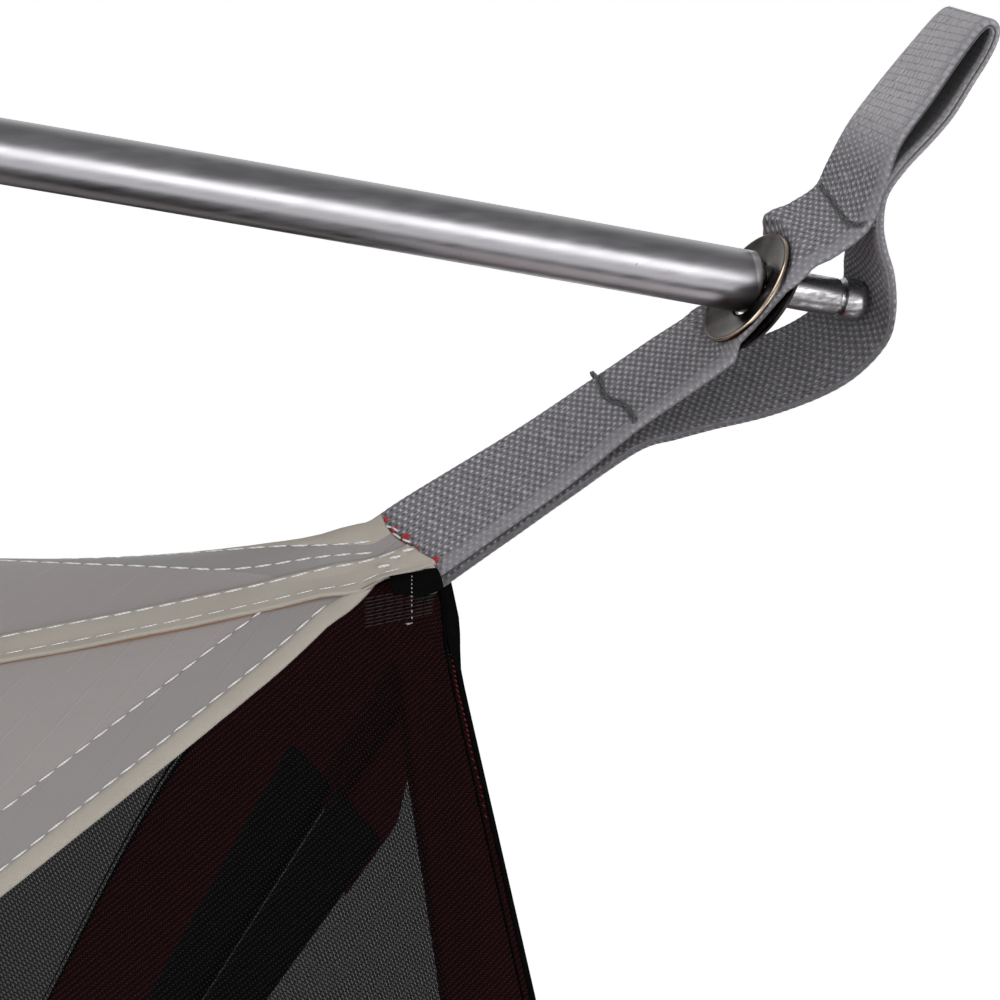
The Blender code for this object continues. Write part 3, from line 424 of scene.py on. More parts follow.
def strap_shape(u, v):
    middle, width, normal = strap_frames[round(v * strap_steps)]
    across, through_it = strap_section(u)
    along = v * strap_length
    near = max(0.0, 1 - abs(along - eyelet_along) / 0.014)
    half = strap_width / 2 + 0.0012 * eased(near, 0.25, 0.75)
    if across > 0:
        half *= 1 - 0.17 * eased(along, *loop_inner[:2]) * (1 - eased(along, *loop_inner[2:]))
    warp_wave = math.sin(math.tau * along / weave_along)
    crimp = warp_wave * math.sin(math.tau * across * half / weave_across)
    fade = 1 - abs(across) ** 6
    if abs(across) > 0.999:
        half += 0.00003 * warp_wave
    lift = (strap_thick / 2 + 0.00004 * crimp * fade) * through_it
    wander = 0.00006 * noise.noise(Vector((along * 120, across, 3.0)))
    spot = middle + width * (across * half + wander) + normal * lift
    away = spot - eyelet_centre
    depth = away.dot(eyelet_axis)
    pressed = 1 - eased((away - eyelet_axis * depth).length, 0.0080, 0.0104)
    if near > 0 and pressed > 0:
        flat = math.copysign(lift, lift * normal.dot(eyelet_axis))
        spot += eyelet_axis * ((flat - depth) * pressed)
    return spot


def strap_chart(u, v):
    """Metres along and across; the strap's inner face lies 0.1 further across."""
    across, through_it = strap_section(u)
    return v * strap_length, across * strap_width / 2 + (0.1 if through_it * outward < 0 else 0.0)


webbing_look, tree, surface = new_look("woven_webbing", (0.18, 0.17, 0.19), 0.62, sheen=0.12, specular=0.35)
laid = parts(tree, coords(tree, "UV"))
inner = calc(tree, "GREATER_THAN", laid[1], 0.05)
along, across = laid[0], calc(tree, "MULTIPLY_ADD", inner, -0.1, laid[1])
mottle = fuzz(tree, 900.0, 3.0, coords(tree, "UV"))
shifted = calc(tree, "MULTIPLY_ADD", mottle, 0.00030, along)
warp = calc(tree, "SINE", calc(tree, "MULTIPLY", shifted, math.tau / weave_along))
weft = calc(tree, "SINE", calc(tree, "MULTIPLY", across, math.tau / weave_across))
weave = calc(tree, "MULTIPLY", warp, weft)
dashes = calc(tree, "MULTIPLY", weave, calc(tree, "MULTIPLY", weft, weft))
fibres = fuzz(tree, 1.0, 2.0, coords(tree, "UV"), (700.0, 5200.0, 1.0))
fleck = ranged(tree, calc(tree, "ADD", dashes, calc(tree, "MULTIPLY", fibres, 1.5)), 0.95, 1.45)
slit = ranged(tree, calc(tree, "ADD", dashes, calc(tree, "MULTIPLY", fibres, -1.0)), -0.70, -1.20)
tone = mixed(tree, fleck, (0.150, 0.144, 0.158), (0.42, 0.41, 0.435))
tone = mixed(tree, slit, tone, (0.060, 0.057, 0.064))
tone = mixed(tree, ranged(tree, fibres, 0.50, 0.72, 0.0, 0.6), tone, (0.40, 0.39, 0.415))
tone = mixed(tree, ranged(tree, fibres, 0.45, 0.25, 0.0, 0.6), tone, (0.062, 0.060, 0.066))
rear_start = strap_share(25) * strap_length
on_rear = ranged(tree, along, rear_start, rear_start + 0.006)
# Painted highlight: a lighter band along both edges of the strap, where they curl towards the light; it is left
# off the rear ply, which lies in shade.
painted_edge_highlight = ranged(tree, calc(tree, "MULTIPLY_ADD", fibres, 0.0012, across), 0.0049, 0.0055)
painted_edge_highlight = calc(tree, "MULTIPLY", painted_edge_highlight, calc(tree, "MULTIPLY_ADD", on_rear, -0.6, 0.6))
tone = mixed(tree, painted_edge_highlight, tone, (0.25, 0.242, 0.26))
loop_start, loop_end = strap_share(11) * strap_length, strap_share(22) * strap_length
on_loop = calc(tree, "MULTIPLY", ranged(tree, along, loop_start, loop_start + 0.012),
               ranged(tree, along, loop_end, loop_end - 0.008))
crossed = node(tree, "CombineXYZ", {0: calc(tree, "MULTIPLY_ADD", mottle, 0.0007, across),
                                    1: calc(tree, "MULTIPLY_ADD", mottle, 0.0004, along)}).outputs[0]
blocks = node(tree, "TexBrick", {
    "Vector": crossed, "Color1": (0.36, 0.35, 0.37), "Color2": (0.41, 0.395, 0.42),
    "Mortar": (0.20, 0.194, 0.205), "Scale": 1.0, "Mortar Size": 0.00014, "Mortar Smooth": 1.0,
    "Brick Width": 0.00080, "Row Height": 0.00110}, offset=0.5)
rib = calc(tree, "SUBTRACT", 1.0, blocks.outputs[1])
ribbed = mixed(tree, ranged(tree, fibres, 0.40, 0.72, 0.0, 0.7), blocks.outputs[0], (0.50, 0.485, 0.515))
ribbed = mixed(tree, ranged(tree, fibres, 0.42, 0.25, 0.0, 0.8), ribbed, (0.13, 0.125, 0.135))
ribbed = mixed(tree, ranged(tree, across, 0.0040, 0.0060, 0.0, 0.6), ribbed, tone)
# The loop's inner face is darkened almost to its edge: mostly painted shade inside the loop, partly its darker
# weave.
inner_weave_and_shade = calc(tree, "MULTIPLY", inner, ranged(tree, across, 0.0056, 0.0047, 0.0, 0.88))
ribbed = mixed(tree, inner_weave_and_shade, ribbed, (0.035, 0.033, 0.036))
tone = mixed(tree, on_loop, tone, ribbed)
# Painted shade: the lower ply, which runs back under the pole's tip, is darkened.
tone = mixed(tree, calc(tree, "MULTIPLY", on_rear, 0.42), tone, (0.045, 0.043, 0.048))
painted(surface, tone)
surface.inputs["Sheen Roughness"].default_value = 0.4
woven = node(tree, "Mix", {0: on_loop, 2: weave, 3: rib}).outputs[0]
bumped(surface, calc(tree, "ADD", woven, calc(tree, "MULTIPLY", fibres, 0.7)), 0.55, 0.00012)

strap_columns = 80
for hand, side in hands:
    work = formed(strap_columns, strap_steps, strap_shape, strap_chart, capped=True)
    inside = []
    for face in work.faces:
        away = face.calc_center_median() - eyelet_centre
        depth = away.dot(eyelet_axis)
        if abs(depth) < 0.004 and (away - eyelet_axis * depth).length < 0.0051:
            inside.append(face)
    bmesh.ops.delete(work, geom=inside, context="FACES")
    moved(work, lambda at: flipped(at, side, side))
    made = piece("webbing_strap_" + hand, work, webbing_look, "apex_tab_" + hand)
    stand_in("apex_webbing_" + hand)


# Eyelets. Two-part pressed eyelets, gunmetal over brass: a rolled flange on each face of the
# upper ply, joined by the barrel that the pole's tip goes through.
eyelet_look, tree, surface = new_look("gunmetal_eyelet", (0.07, 0.062, 0.056), 0.22, 1.0)
patches = fuzz(tree, 420.0, 4.0)
rubbed = fuzz(tree, 1900.0, 2.0)
tone = mixed(tree, ranged(tree, patches, 0.35, 0.7), (0.024, 0.021, 0.019), (0.060, 0.051, 0.044))
tone = mixed(tree, ranged(tree, rubbed, 0.66, 0.80), tone, (0.16, 0.13, 0.11))
profile = parts(tree, coords(tree, "UV"))
# The flange's outer rim in bright brass: partly the plating worn through, partly a painted highlight along its
# top edge.
rim_wear_and_highlight = calc(tree, "MULTIPLY", ranged(tree, profile[1], 0.00815, 0.0083),
                ranged(tree, profile[0], 0.0012, 0.0014))
tone = mixed(tree, rim_wear_and_highlight, tone, (0.62, 0.50, 0.40))
painted(surface, tone)
painted(surface, ranged(tree, patches, 0.3, 0.7, 0.17, 0.30), "Roughness")
bumped(surface, rubbed, 0.08, 0.00005)
ring = [(0.0085, 0.00128), (0.00852, 0.00100), (0.0083, 0.00088), (0.0054, 0.00088), (0.0053, 0.0),
        (0.0054, -0.00088), (0.0083, -0.00088), (0.00852, -0.00100), (0.0085, -0.00128), (0.0083, -0.00150),
        (0.0080, -0.00156), (0.0070, -0.00150), (0.0060, -0.00142), (0.0051, -0.00130), (0.0046, -0.00095),
        (0.00365, -0.0005), (0.00365, 0.0002), (0.0039, 0.0006), (0.0043, 0.00088), (0.0049, 0.00106),
        (0.0056, 0.00120), (0.0066, 0.00134), (0.0078, 0.00154), (0.0081, 0.00166), (0.0083, 0.00160),
        (0.00845, 0.00146), (0.0085, 0.00128)]
up = eyelet_axis.orthogonal().normalized()
sideways = eyelet_axis.cross(up)
for hand, side in hands:
    def ring_shape(u, v):
        radius, height = ring[round(v * (len(ring) - 1))]
        angle = math.tau * u
        out = (up * math.cos(angle) + sideways * math.sin(angle)) * radius
        return flipped(eyelet_centre + eyelet_axis * height + out, side, side)

    def ring_chart(u, v):
        return ring[round(v * (len(ring) - 1))][::-1]
    work = formed(72, len(ring) - 1, ring_shape, ring_chart, joined=True)
    made = piece("eyelet_" + hand, work, eyelet_look, "apex_tab_" + hand)
    made.data.set_sharp_from_angle(angle=math.radians(50))
    stand_in("apex_grommet_" + hand)


# Tack stitching on the tabs. Dark grey bar tacks hold the plies together before the eyelet
# and under the pull loop, and red thread sews the strap's end into the canopy's corner.
def sewn_row(name, stitches, look, body="tent", turned=(1, 1)):
    """Thread: a small bead stretched along each stitch (first end, last end, radius).

    The bead's corners are sorted, because the sphere's come in another order each run."""
    bead = bmesh.new()
    bmesh.ops.create_uvsphere(bead, u_segments=6, v_segments=4, radius=1.0)
    order = sorted(bead.verts, key=lambda vert: [round(part, 4) for part in vert.co])
    points, place = [vert.co.copy() for vert in order], {vert: k for k, vert in enumerate(order)}
    rings = [[place[vert] for vert in face.verts] for face in bead.faces]
    rings = sorted(ring[ring.index(min(ring)):] + ring[:ring.index(min(ring))] for ring in rings)
    bead.free()
    spots, faces = [], []
    for first, last, thick in stitches:
        first, last = flipped(first, *turned), flipped(last, *turned)
        run = last - first
        laid = (Matrix.Translation((first + last) / 2) @ run.to_track_quat("X", "Z").to_matrix().to_4x4()
                @ Matrix.Diagonal((run.length / 2, thick, thick, 1)))
        faces += [[len(spots) + index for index in ring] for ring in rings]
        spots += [laid @ point for point in points]
    mesh = bpy.data.meshes.new(name)
    mesh.from_pydata(spots, [], faces)
    work = bmesh.new()
    work.from_mesh(mesh)
    return piece(name, work, look, body)


def thread_look(name, colour, rough=0.6):
    made, tree, surface = new_look(name, colour, rough)
    ply = node(tree, "TexWave", {"Vector": coords(tree), "Scale": 900.0, "Distortion": 2.0},
               bands_direction="DIAGONAL")
    dark = tuple(0.7 * part for part in colour)
    painted(surface, mixed(tree, ply.outputs[1], dark, colour))
    bumped(surface, ply.outputs[1], 0.4, 0.00005)
    return made


thread_r = 0.00015
grey_thread = thread_look("grey_thread", (0.11, 0.11, 0.12))
red_thread = thread_look("red_thread", (0.42, 0.012, 0.018))
white_thread = thread_look("white_thread", (0.80, 0.79, 0.78))


def strap_share_at(station):
    """As strap_share, for a place between two stations."""
    place = station / (len(strap_run) - 1) * 2000
    low = int(place)
    return (reach[low] + (reach[low + 1] - reach[low]) * (place - low)) / strap_length


def strap_spot(share, across, out):
    middle, width, normal = strap_frame(share)
    return middle + width * (across * strap_width / 2) + normal * out


skin = outward * (strap_thick / 2 + 0.00008)
for hand, side in hands:
    row_of = []
    for run_of in (((4.15, -0.96), (4.0, -0.3), (4.1, 0.3), (4.05, 0.96)),
                   ((10.2, -0.93), (10.0, -0.15), (9.85, 0.55), (10.05, 0.9), (10.2, 1.02))):
        for strand in range(4):
            for step in range(14):
                ends = []
                for place in (step / 14, (step + 1.25) / 14):
                    station, low = through(run_of, place)
                    swing = 0.00042 * math.sin(place * 11 + strand * 1.7) / strap_length
                    lie = skin + 0.00012 * (strand % 2)
                    ends.append(strap_spot(strap_share_at(station) + swing, low, lie))
                row_of.append((*ends, thread_r))
    for strand in range(3):
        row_of.append((strap_spot(strap_share_at(10.2) + 0.0005 * strand, 1.02, skin),
                       strap_spot(strap_share_at(23.2) - 0.0006 * strand, 0.98, skin), 0.00018))
    tail = [Vector(point) for point in ((-19.6, -15.3, 5.4), (-20.2, -14.3, 5.6), (-20.6, -13.4, 5.6),
                                        (-20.3, -13.2, 5.3), (-19.9, -13.9, 5.0), (-19.4, -15.0, 4.5))]
    tail = [Vector((0.600 + spot.x / 1000, spot.z / 1000, 0.985 + spot.y / 1000)) for spot in tail]
    for before, after in zip(tail, tail[1:]):
        row_of.append((before, after + (after - before) * 0.3, 0.00024))
    sewn_row("bar_tacks_" + hand, row_of, grey_thread, "apex_tab_" + hand, (side, side))


# Roof. Two sails of silicone-coated mauve-grey ripstop meet along the middle; each has a
# doubled hem between two rows of white thread and a cream binding on its curved edge.
def roof_half(t, s):
    """Half of the roof's width at t; it is gathered where it meets the tab."""
    if s < 0:
        t -= 0.0055 * (1 - eased(t, 0.012, 0.045))
        return max(0.2944 * t + 0.2906 * t * t, 0.0040 - 0.19 * t)
    return max(0.2944 * t + 0.2906 * t * t, 0.0030 + 0.08 * t)


def half_by(t, edge):
    """The same by the front (-1) or back (1) edge, for t from 0 right to 2 left."""
    return roof_half(min(t, 2 - t), edge if t <= 1 else -edge)


def roof_point(t, s):
    """The roof by the right tab: t from tab to ridge, s from its near edge (-1) to its far one (1).

    The tab's twist lifts the edges, the far one most, and the corner lies on the strap."""
    across = abs(s)
    lasting, further = (0.0022, 0.0048) if s < 0 else (0.0085, 0.0011)
    centre = 0.9486 - 0.060 * t + 0.1464 * t * t
    twist = (lasting + further * math.exp(-t / 0.035)) * (1 - eased(t, 0.12, 0.60))
    edge = 0.9455 - 0.179 * t + 0.1635 * t * t + twist
    height = centre + (edge - centre) * across ** (1 + t)
    if s < 0:
        height += 0.16 * roof_half(t, s) * (1 - eased(t, 0.10, 0.35)) * across * (1 - across)
    else:
        lift = 0.9 * math.exp(-max(t - 0.0155, 0.0) / 0.0185)
        rolled = centre + roof_half(t, s) * (lift * s - (0.28 - 0.15 * min(t, 0.12)) * s ** 4)
        height = rolled + (height - rolled) * eased(t, 0.12, 0.60)
    x, y = 0.5555 * (1 - t), s * roof_half(t, s)
    on_strap = 0.9522 + 0.6235 * (x - 0.5526) + 0.85 * (y + 0.0008)
    return Vector((x, y, height + (on_strap - height) * (1 - eased(t, 0.006, 0.030))))


def cut_start(s):
    """Where the roof's cloth is cut off over the strap, as a value of t."""
    return 0.0075 + 0.0050 * s - 0.0020 * s * s


def roof_spot(t, edge, from_edge, out=0.0):
    """A place on the roof: t from 0 right to 2 left, the front (-1) or back (1) edge, metres in from it."""
    side = 1 if t <= 1 else -1
    t = t if t <= 1 else 2 - t
    way = edge * side
    s = way * max(0.0, 1 - from_edge / roof_half(t, way))
    spot = roof_point(t, s)
    if out:
        along = roof_point(min(t + 0.002, 1.0), s) - roof_point(t - 0.002, s)
        away = roof_point(t, s + 0.01) - roof_point(t, s - 0.01)
        normal = along.cross(away).normalized()
        spot += normal * (out if normal.z > 0 else -out)
    return flipped(spot, side, side)


# How far in the hem's two rows of thread run, the metres of cloth for each step of t, and a
# direction out of the roof by the tab.
hem_inner, hem_outer = 0.0095, 0.0027
roof_run = 0.75
off_roof = Vector((-0.43, -0.58, 0.69))


def roof_t(v, s=0.0):
    """Rows from the tab's cut edge (v 0) over the ridge to the other (v 1), closer together at the tabs."""
    start = cut_start(s if v <= 0.5 else -s)
    reached = start + (1 - start) * (1 - abs(2 * v - 1)) ** 1.6
    return reached if v <= 0.5 else 2 - reached


roof_look, tree, surface = new_look("ripstop_roof", (0.33, 0.30, 0.30), 0.55, sheen=0.08, specular=0.4)
laid = parts(tree, coords(tree, "UV"))
from_edge = laid[1]
spot_in = parts(tree, coords(tree))
diagonal = calc(tree, "ADD", calc(tree, "MULTIPLY", spot_in[0], -0.68),
                calc(tree, "MULTIPLY", spot_in[1], 0.73))
crossing = calc(tree, "ADD", calc(tree, "MULTIPLY", spot_in[0], 0.73),
                calc(tree, "MULTIPLY", spot_in[1], 0.68))
lines = []
for way, weight in ((diagonal, 0.8), (crossing, 0.2)):
    cell = calc(tree, "PINGPONG", way, 0.0021)
    lines.append(calc(tree, "MULTIPLY", ranged(tree, cell, 0.00018, 0.0), weight))
grid = calc(tree, "MAXIMUM", lines[0], lines[1])
cloud = fuzz(tree, 22.0, 4.0)
grain = fuzz(tree, 3500.0, 1.0)
tone = mixed(tree, cloud, (0.268, 0.240, 0.240), (0.312, 0.284, 0.280))
tone = mixed(tree, calc(tree, "MULTIPLY", grain, 0.25), tone, (0.39, 0.36, 0.36))
tone = mixed(tree, calc(tree, "MULTIPLY", grid, 0.22), tone, (0.45, 0.425, 0.42))
hem = ranged(tree, from_edge, hem_inner + 0.0004, hem_inner - 0.0002)
tone = mixed(tree, calc(tree, "MULTIPLY", hem, 0.8), tone, (0.245, 0.232, 0.228))
painted(surface, tone)
wrinkle = fuzz(tree, 1.0, 5.0, stretched=(30.0, 70.0, 40.0))
height = calc(tree, "ADD", calc(tree, "MULTIPLY", wrinkle, 6.0),
              calc(tree, "ADD", calc(tree, "MULTIPLY", grid, 0.5), calc(tree, "MULTIPLY", hem, 1.2)))
bumped(surface, height, 0.35, 0.0003)

binding_look, tree, surface = new_look("cream_binding", (0.56, 0.52, 0.44), 0.7, sheen=0.1)
twill = node(tree, "TexWave", {"Vector": coords(tree), "Scale": 1600.0, "Distortion": 1.0},
             bands_direction="DIAGONAL").outputs[1]
shade = fuzz(tree, 90.0, 4.0)
tone = mixed(tree, shade, (0.33, 0.296, 0.252), (0.42, 0.388, 0.342))
painted(surface, mixed(tree, calc(tree, "MULTIPLY", twill, 0.15), tone, (0.29, 0.262, 0.22)))
bumped(surface, calc(tree, "ADD", twill, calc(tree, "MULTIPLY", shade, 3.0)), 0.25, 0.00008)

roof_rows, roof_columns = 260, 28


def hem_row(t, edge, inner):
    """How far in from the edge a row of thread runs: the inner row closes up towards the far corner."""
    if not inner:
        return hem_outer - 0.0006 * (1 - eased(min(t, 2 - t), 0.012, 0.03))
    far = (edge if t <= 1 else -edge) > 0
    return 0.0034 + (hem_inner - 0.0034) * eased(min(t, 2 - t), 0.015, 0.055) if far else hem_inner


def white_row(edge, inner, pitch=0.0033):
    """A row of lock stitches along a hem of the roof, each one lying a little askew."""
    t, stitches = 0.0135, []
    while t < 1.9865:
        ahead = 0.001
        speed = (roof_spot(t + ahead, edge, 0.0) - roof_spot(t, edge, 0.0)).length / ahead
        step = pitch / max(speed, 0.2)
        near = (edge if t <= 1 else -edge) < 0
        inset = hem_row(t, edge, inner)
        if not near or roof_half(min(t, 2 - t), -1) - inset > 0.0032:
            here = roof_spot(t, edge, inset, 0.0003)
            there = roof_spot(t + step * 1.02, edge, hem_row(t + step, edge, inner) + 0.00012, 0.0003)
            stitches.append((here, there, thread_r))
        t += step
    return stitches


def corner_row(side, turns):
    """The same thread where it turns and runs along the roof's cut end, over the strap."""
    spots = [flipped(roof_point(t, s) + off_roof * 0.0005, side, side) for t, s in turns]
    return [(here, there, thread_r) for here, there in zip(spots, spots[1:])]


def strip_t(v, edge, inward):
    """A row of a strip along an edge, ending on the slanting line where the cloth is cut."""
    return roof_t(v, edge * max(0.0, 1 - inward / half_by(roof_t(v, edge), edge)))


for end, edge in (("front", -1), ("back", 1)):
    def sail_shape(u, v):
        t = roof_t(v, u * edge)
        inset = (1 - u) * half_by(t, edge)
        spot = roof_spot(t, edge, inset)
        spot.z += 0.0012 * min(1.0, inset / 0.03) * noise.noise(Vector((spot.x * 9, spot.y * 14, 1.0)))
        return spot

    def sail_chart(u, v):
        t = roof_t(v, u * edge)
        return t * roof_run, (1 - u) * half_by(t, edge)
    sail = piece("roof_sail_" + end, formed(roof_columns, roof_rows, sail_shape, sail_chart), roof_look)
    thicken(sail, 0.0005)
    stand_in("roof_" + end)

    def binding_shape(u, v):
        inward = 0.00115 + 0.00150 * math.cos(math.tau * u)
        t = strip_t(v, edge, max(inward, 0.0))
        spot = roof_spot(t, edge, max(inward, 0.0), 0.00005 + 0.00045 * math.sin(math.tau * u))
        if inward < 0:
            spot += (roof_spot(t, edge, 0.0) - roof_spot(t, edge, 0.001)).normalized() * -inward
        return spot + Vector((0, 0, 0.00010 * noise.noise(Vector((t * 160, 5.0, 0.0)))))
    work = formed(14, roof_rows, binding_shape, lambda u, v: (roof_t(v, edge) * roof_run, u * 0.006),
                  capped=True)
    binding = piece("roof_binding_" + end, work, binding_look)
    row_of = white_row(edge, False) + white_row(edge, True)
    for turns in (((0.0100, 0.62), (0.0085, 0.45), (0.0071, 0.20)),
                  ((0.0087, 0.31), (0.0068, -0.05), (0.0048, -0.29))):
        row_of += corner_row(edge, turns)
    rows = sewn_row("hem_stitches_" + end, row_of, white_thread)


# Middle tape. A cream tape folded over the seam between the two sails, sewn down along its
# back edge, with its front edge rolled under and standing a little proud.
def tape_edges(t):
    """The tape's two edges by the right tab, where it widens over the corner's near side."""
    forward = 0.020 * min(t, 0.12)
    near = -0.0033 - 0.0017 * (1 - eased(t, 0.0, 0.016)) - forward
    return near, 0.0022 - 0.0034 * (1 - eased(t, 0.004, 0.026)) - forward


def tape_spot(t, u, rise):
    """A place on the tape, u from its back edge (0) to its front edge (1)."""
    side = 1 if t <= 1 else -1
    t = t if t <= 1 else 2 - t
    near, far = tape_edges(t)
    y = far + (near - far) * u if side > 0 else near + (far - near) * u
    spot = roof_point(t, max(-1.0, min(1.0, y / roof_half(t, y))))
    return Vector((spot.x * side, y * side, spot.z + rise))


def tape_rise(t, u):
    proud = eased(min(t, 2 - t), 0.008, 0.03)
    lip = max(0.0, (u - 0.55) / 0.45)
    ruffle = 0.0002 * noise.noise(Vector((t * 60, 2.0 * u, 0.0)))
    return 0.0004 + 0.0004 * lip * lip * proud + ruffle * proud


def tape_end(v, u):
    t = roof_t(v)
    near, far = tape_edges(min(t, 2 - t))
    s = (far + (near - far) * u) / 0.004
    return roof_t(v, max(-1.0, min(1.0, s)))


work = formed(12, roof_rows, lambda u, v: tape_spot(tape_end(v, u), u, tape_rise(tape_end(v, u), u)),
              lambda u, v: (roof_t(v) * roof_run, u * 0.0065))
tape = piece("middle_tape", work, binding_look)
thicken(tape, 0.0005)
stand_in("roof_seam_tape")

# Under the tape's front edge its rolled-under ply shows as a narrow brown strip: painted shadow, the shade
# under the proud lip.
lip_shadow_look, tree, surface = new_look("tape_lip_shadow", (0.20, 0.105, 0.060), 0.8)
shade = fuzz(tree, 160.0, 3.0)
painted(surface, mixed(tree, shade, (0.155, 0.080, 0.045), (0.26, 0.15, 0.09)))


def lip_shadow_shape(u, v):
    t = 0.013 + 0.974 * 2 * v
    t = min(t, 1.987)
    wide = 0.25 + 0.75 * eased(t, 0.015, 0.05)
    return tape_spot(t, 0.985 + (0.035 * u - 0.015) * wide, 0.0006 - 0.0005 * u * wide)


piece("tape_lip_shadow", formed(3, roof_rows, lip_shadow_shape), lip_shadow_look)
t, row_of = 0.0085, []
while t < 1.9915:
    step = 0.0031 / ((tape_spot(t + 0.001, 0.5, 0) - tape_spot(t, 0.5, 0)).length / 0.001)
    for u, lift, thick in ((0.10, 0.0007, thread_r), (0.74, 0.0008, 0.00009)):
        row_of.append((tape_spot(t, u, lift), tape_spot(min(t + step, 1.9945), u + 0.02, lift), thick))
    t += step
sewn_row("tape_stitches", row_of, white_thread)


# Thread at the corners. Red thread comes out from under the roof's cut edge in clusters of
# three stitches and goes into the strap; a white one is back-stitched over the tape's end.
for hand, side in hands:
    row_of = []
    for step in range(5):
        s = 0.80 - 0.43 * step
        size = (0.5, 0.7, 1.0, 0.4, 0.85)[step]
        root = roof_point(cut_start(s), s) + off_roof * 0.0002
        for strand in range(3):
            first = root + Vector((0.0, -0.0009, -0.0008)) * (0.30 * size * (strand - 1))
            last = first + Vector((0.85, 0.0, 0.53)) * (size * (0.0014 + 0.0004 * ((step + strand) % 2)))
            row_of.append((first, last, 0.00016))
    sewn_row("corner_stitches_" + hand, row_of, red_thread, turned=(side, side))
    row_of = []
    for t, u in ((0.0045, 0.30), (0.0075, 0.34), (0.0105, 0.50)):
        first = tape_spot(t, u, 0.0007)
        row_of.append((first, first + Vector((-0.0021, -0.0003, 0.0)), 0.00022))
    sewn_row("corner_backstitch_" + hand, row_of, white_thread, turned=(side, side))


# Netting. Fine black insect mesh for the corner panels and the ends, sewn to the roof's
# binding above, to the door wall's seam and to the tub below.
def net_look(name, thread, openness, pitch):
    """Knitted mesh: staggered round holes in black thread, with painted glints on the thread, on the piece's UV
    map in metres.
    """
    made, tree, surface = new_look(name, thread, 0.85, specular=0.0)
    laid = parts(tree, coords(tree, "UV"))
    wobble = fuzz(tree, 300.0, where=coords(tree, "UV"))
    across = calc(tree, "SINE", calc(tree, "MULTIPLY", calc(tree, "MULTIPLY_ADD", wobble, 0.0002, laid[0]),
                                     math.tau / pitch))
    along = calc(tree, "SINE", calc(tree, "MULTIPLY", laid[1], math.tau / (pitch * 1.7)))
    cell = calc(tree, "MULTIPLY", across, along)
    hole = ranged(tree, cell, *openness)
    # Painted highlight: pale glints on the thread, in a staggered pattern between the holes.
    painted_glint = tuple(10.0 * part for part in thread)
    painted(surface, mixed(tree, ranged(tree, cell, -0.72, -0.95), thread, painted_glint))
    bumped(surface, cell, 0.4, 0.0001)
    through_mix(tree, hole, surface, node(tree, "BsdfTransparent"))
    return made


canopy_net = net_look("canopy_net", (0.0028, 0.0026, 0.0029), (-0.2, 0.8, 0.06, 0.42), 0.00075)
# The tub's corner, where the nets and walls are sewn on.
rim = (0.5986, 1.062)


def seam_height(y):
    """The wall's upper seam; on the zip's side (y over 0) it hangs a little below a straight line."""
    slack = 0.091 * y - 0.387 * y * y + 0.284 * y ** 3 if y > 0 else 0.0
    return 0.9476 - 0.72 * abs(y) - 0.075 * y * y + slack


def wall_x(z):
    return 0.556 + 0.05 * (0.95 - z)


seam_bow = Vector((0.55, -0.83, 0.0)).normalized() * 0.030


def mesh_point(t, share, way=-1):
    """The corner net between the roof's edge (0) and the wall's seam (1), front right."""
    height = seam_height(way * rim[1] * t)
    side = Vector((wall_x(height) + 0.0014 * (1 - eased(t, 0.005, 0.013)), -rim[1] * t, height))
    top = roof_point(t, way)
    top.y = -abs(top.y)
    return top.lerp(side, share) + seam_bow * (4 * share * (1 - share) * t * t)


def net_t(v, way):
    """Rows down the corner net, closer together at the tab, where its cloth begins a little below."""
    start = 0.0125 if way > 0 else 0.003
    return start + (1 - start) * v ** 1.35


def leg_seam(share):
    top = roof_point(1.0, -1)
    bottom = Vector((rim[0], -rim[1], seam_height(rim[1])))
    return top.lerp(bottom, share) + seam_bow * (4 * share * (1 - share))


for end, side_y in tent_ends:
    for hand, side_x in hands:
        way = -side_x * side_y

        def net_shape(u, v):
            spot = mesh_point(net_t(v, way), u, way)
            slack = 4 * u * (1 - u)
            spot += Vector((-0.4, 0.6, 0.0)) * 0.004 * slack * noise.noise(spot * 7)
            return flipped(spot, side_x, side_y)

        def net_chart(u, v):
            t = net_t(v, way)
            return (t * 0.95, u * (mesh_point(t, 1.0, way) - mesh_point(t, 0.0, way)).length)
        net = piece(f"corner_net_{end}_{hand}", formed(24, 90, net_shape, net_chart), canopy_net)
        stand_in(f"mesh_{end}_{hand}")

    def end_shape(u, v):
        spot = leg_seam(v * 0.985)
        x = spot.x * (2 * u - 1)
        slack = (1 - (2 * u - 1) ** 2) * math.sin(math.pi * v)
        return Vector((x, (spot.y + 0.006 * slack) * side_y, spot.z))
    work = formed(40, 60, end_shape, lambda u, v: (leg_seam(v).x * (2 * u - 1), v * 0.95))
    net = piece("end_net_" + end, work, canopy_net)
    stand_in("end_mesh_" + end)


# Corner patches and seam bindings. Black cloth folded round the nets' corner under the roof
# and sewn down with a column of white thread; below it the nets are bound in black.
patch_look, tree, surface = new_look("black_patch_cloth", (0.004, 0.004, 0.004), 0.9, specular=0.0)
weave = fuzz(tree, 2600.0, 2.0)
painted(surface, mixed(tree, weave, (0.0015, 0.0015, 0.0017), (0.0055, 0.0053, 0.0055)))
bumped(surface, weave, 0.4, 0.0001)
dull_red_thread = thread_look("dull_red_thread", (0.16, 0.008, 0.009))
grey_white_thread = thread_look("grey_white_thread", (0.36, 0.35, 0.35))
crease_look = thread_look("crease_thread", (0.022, 0.021, 0.023), 0.9)
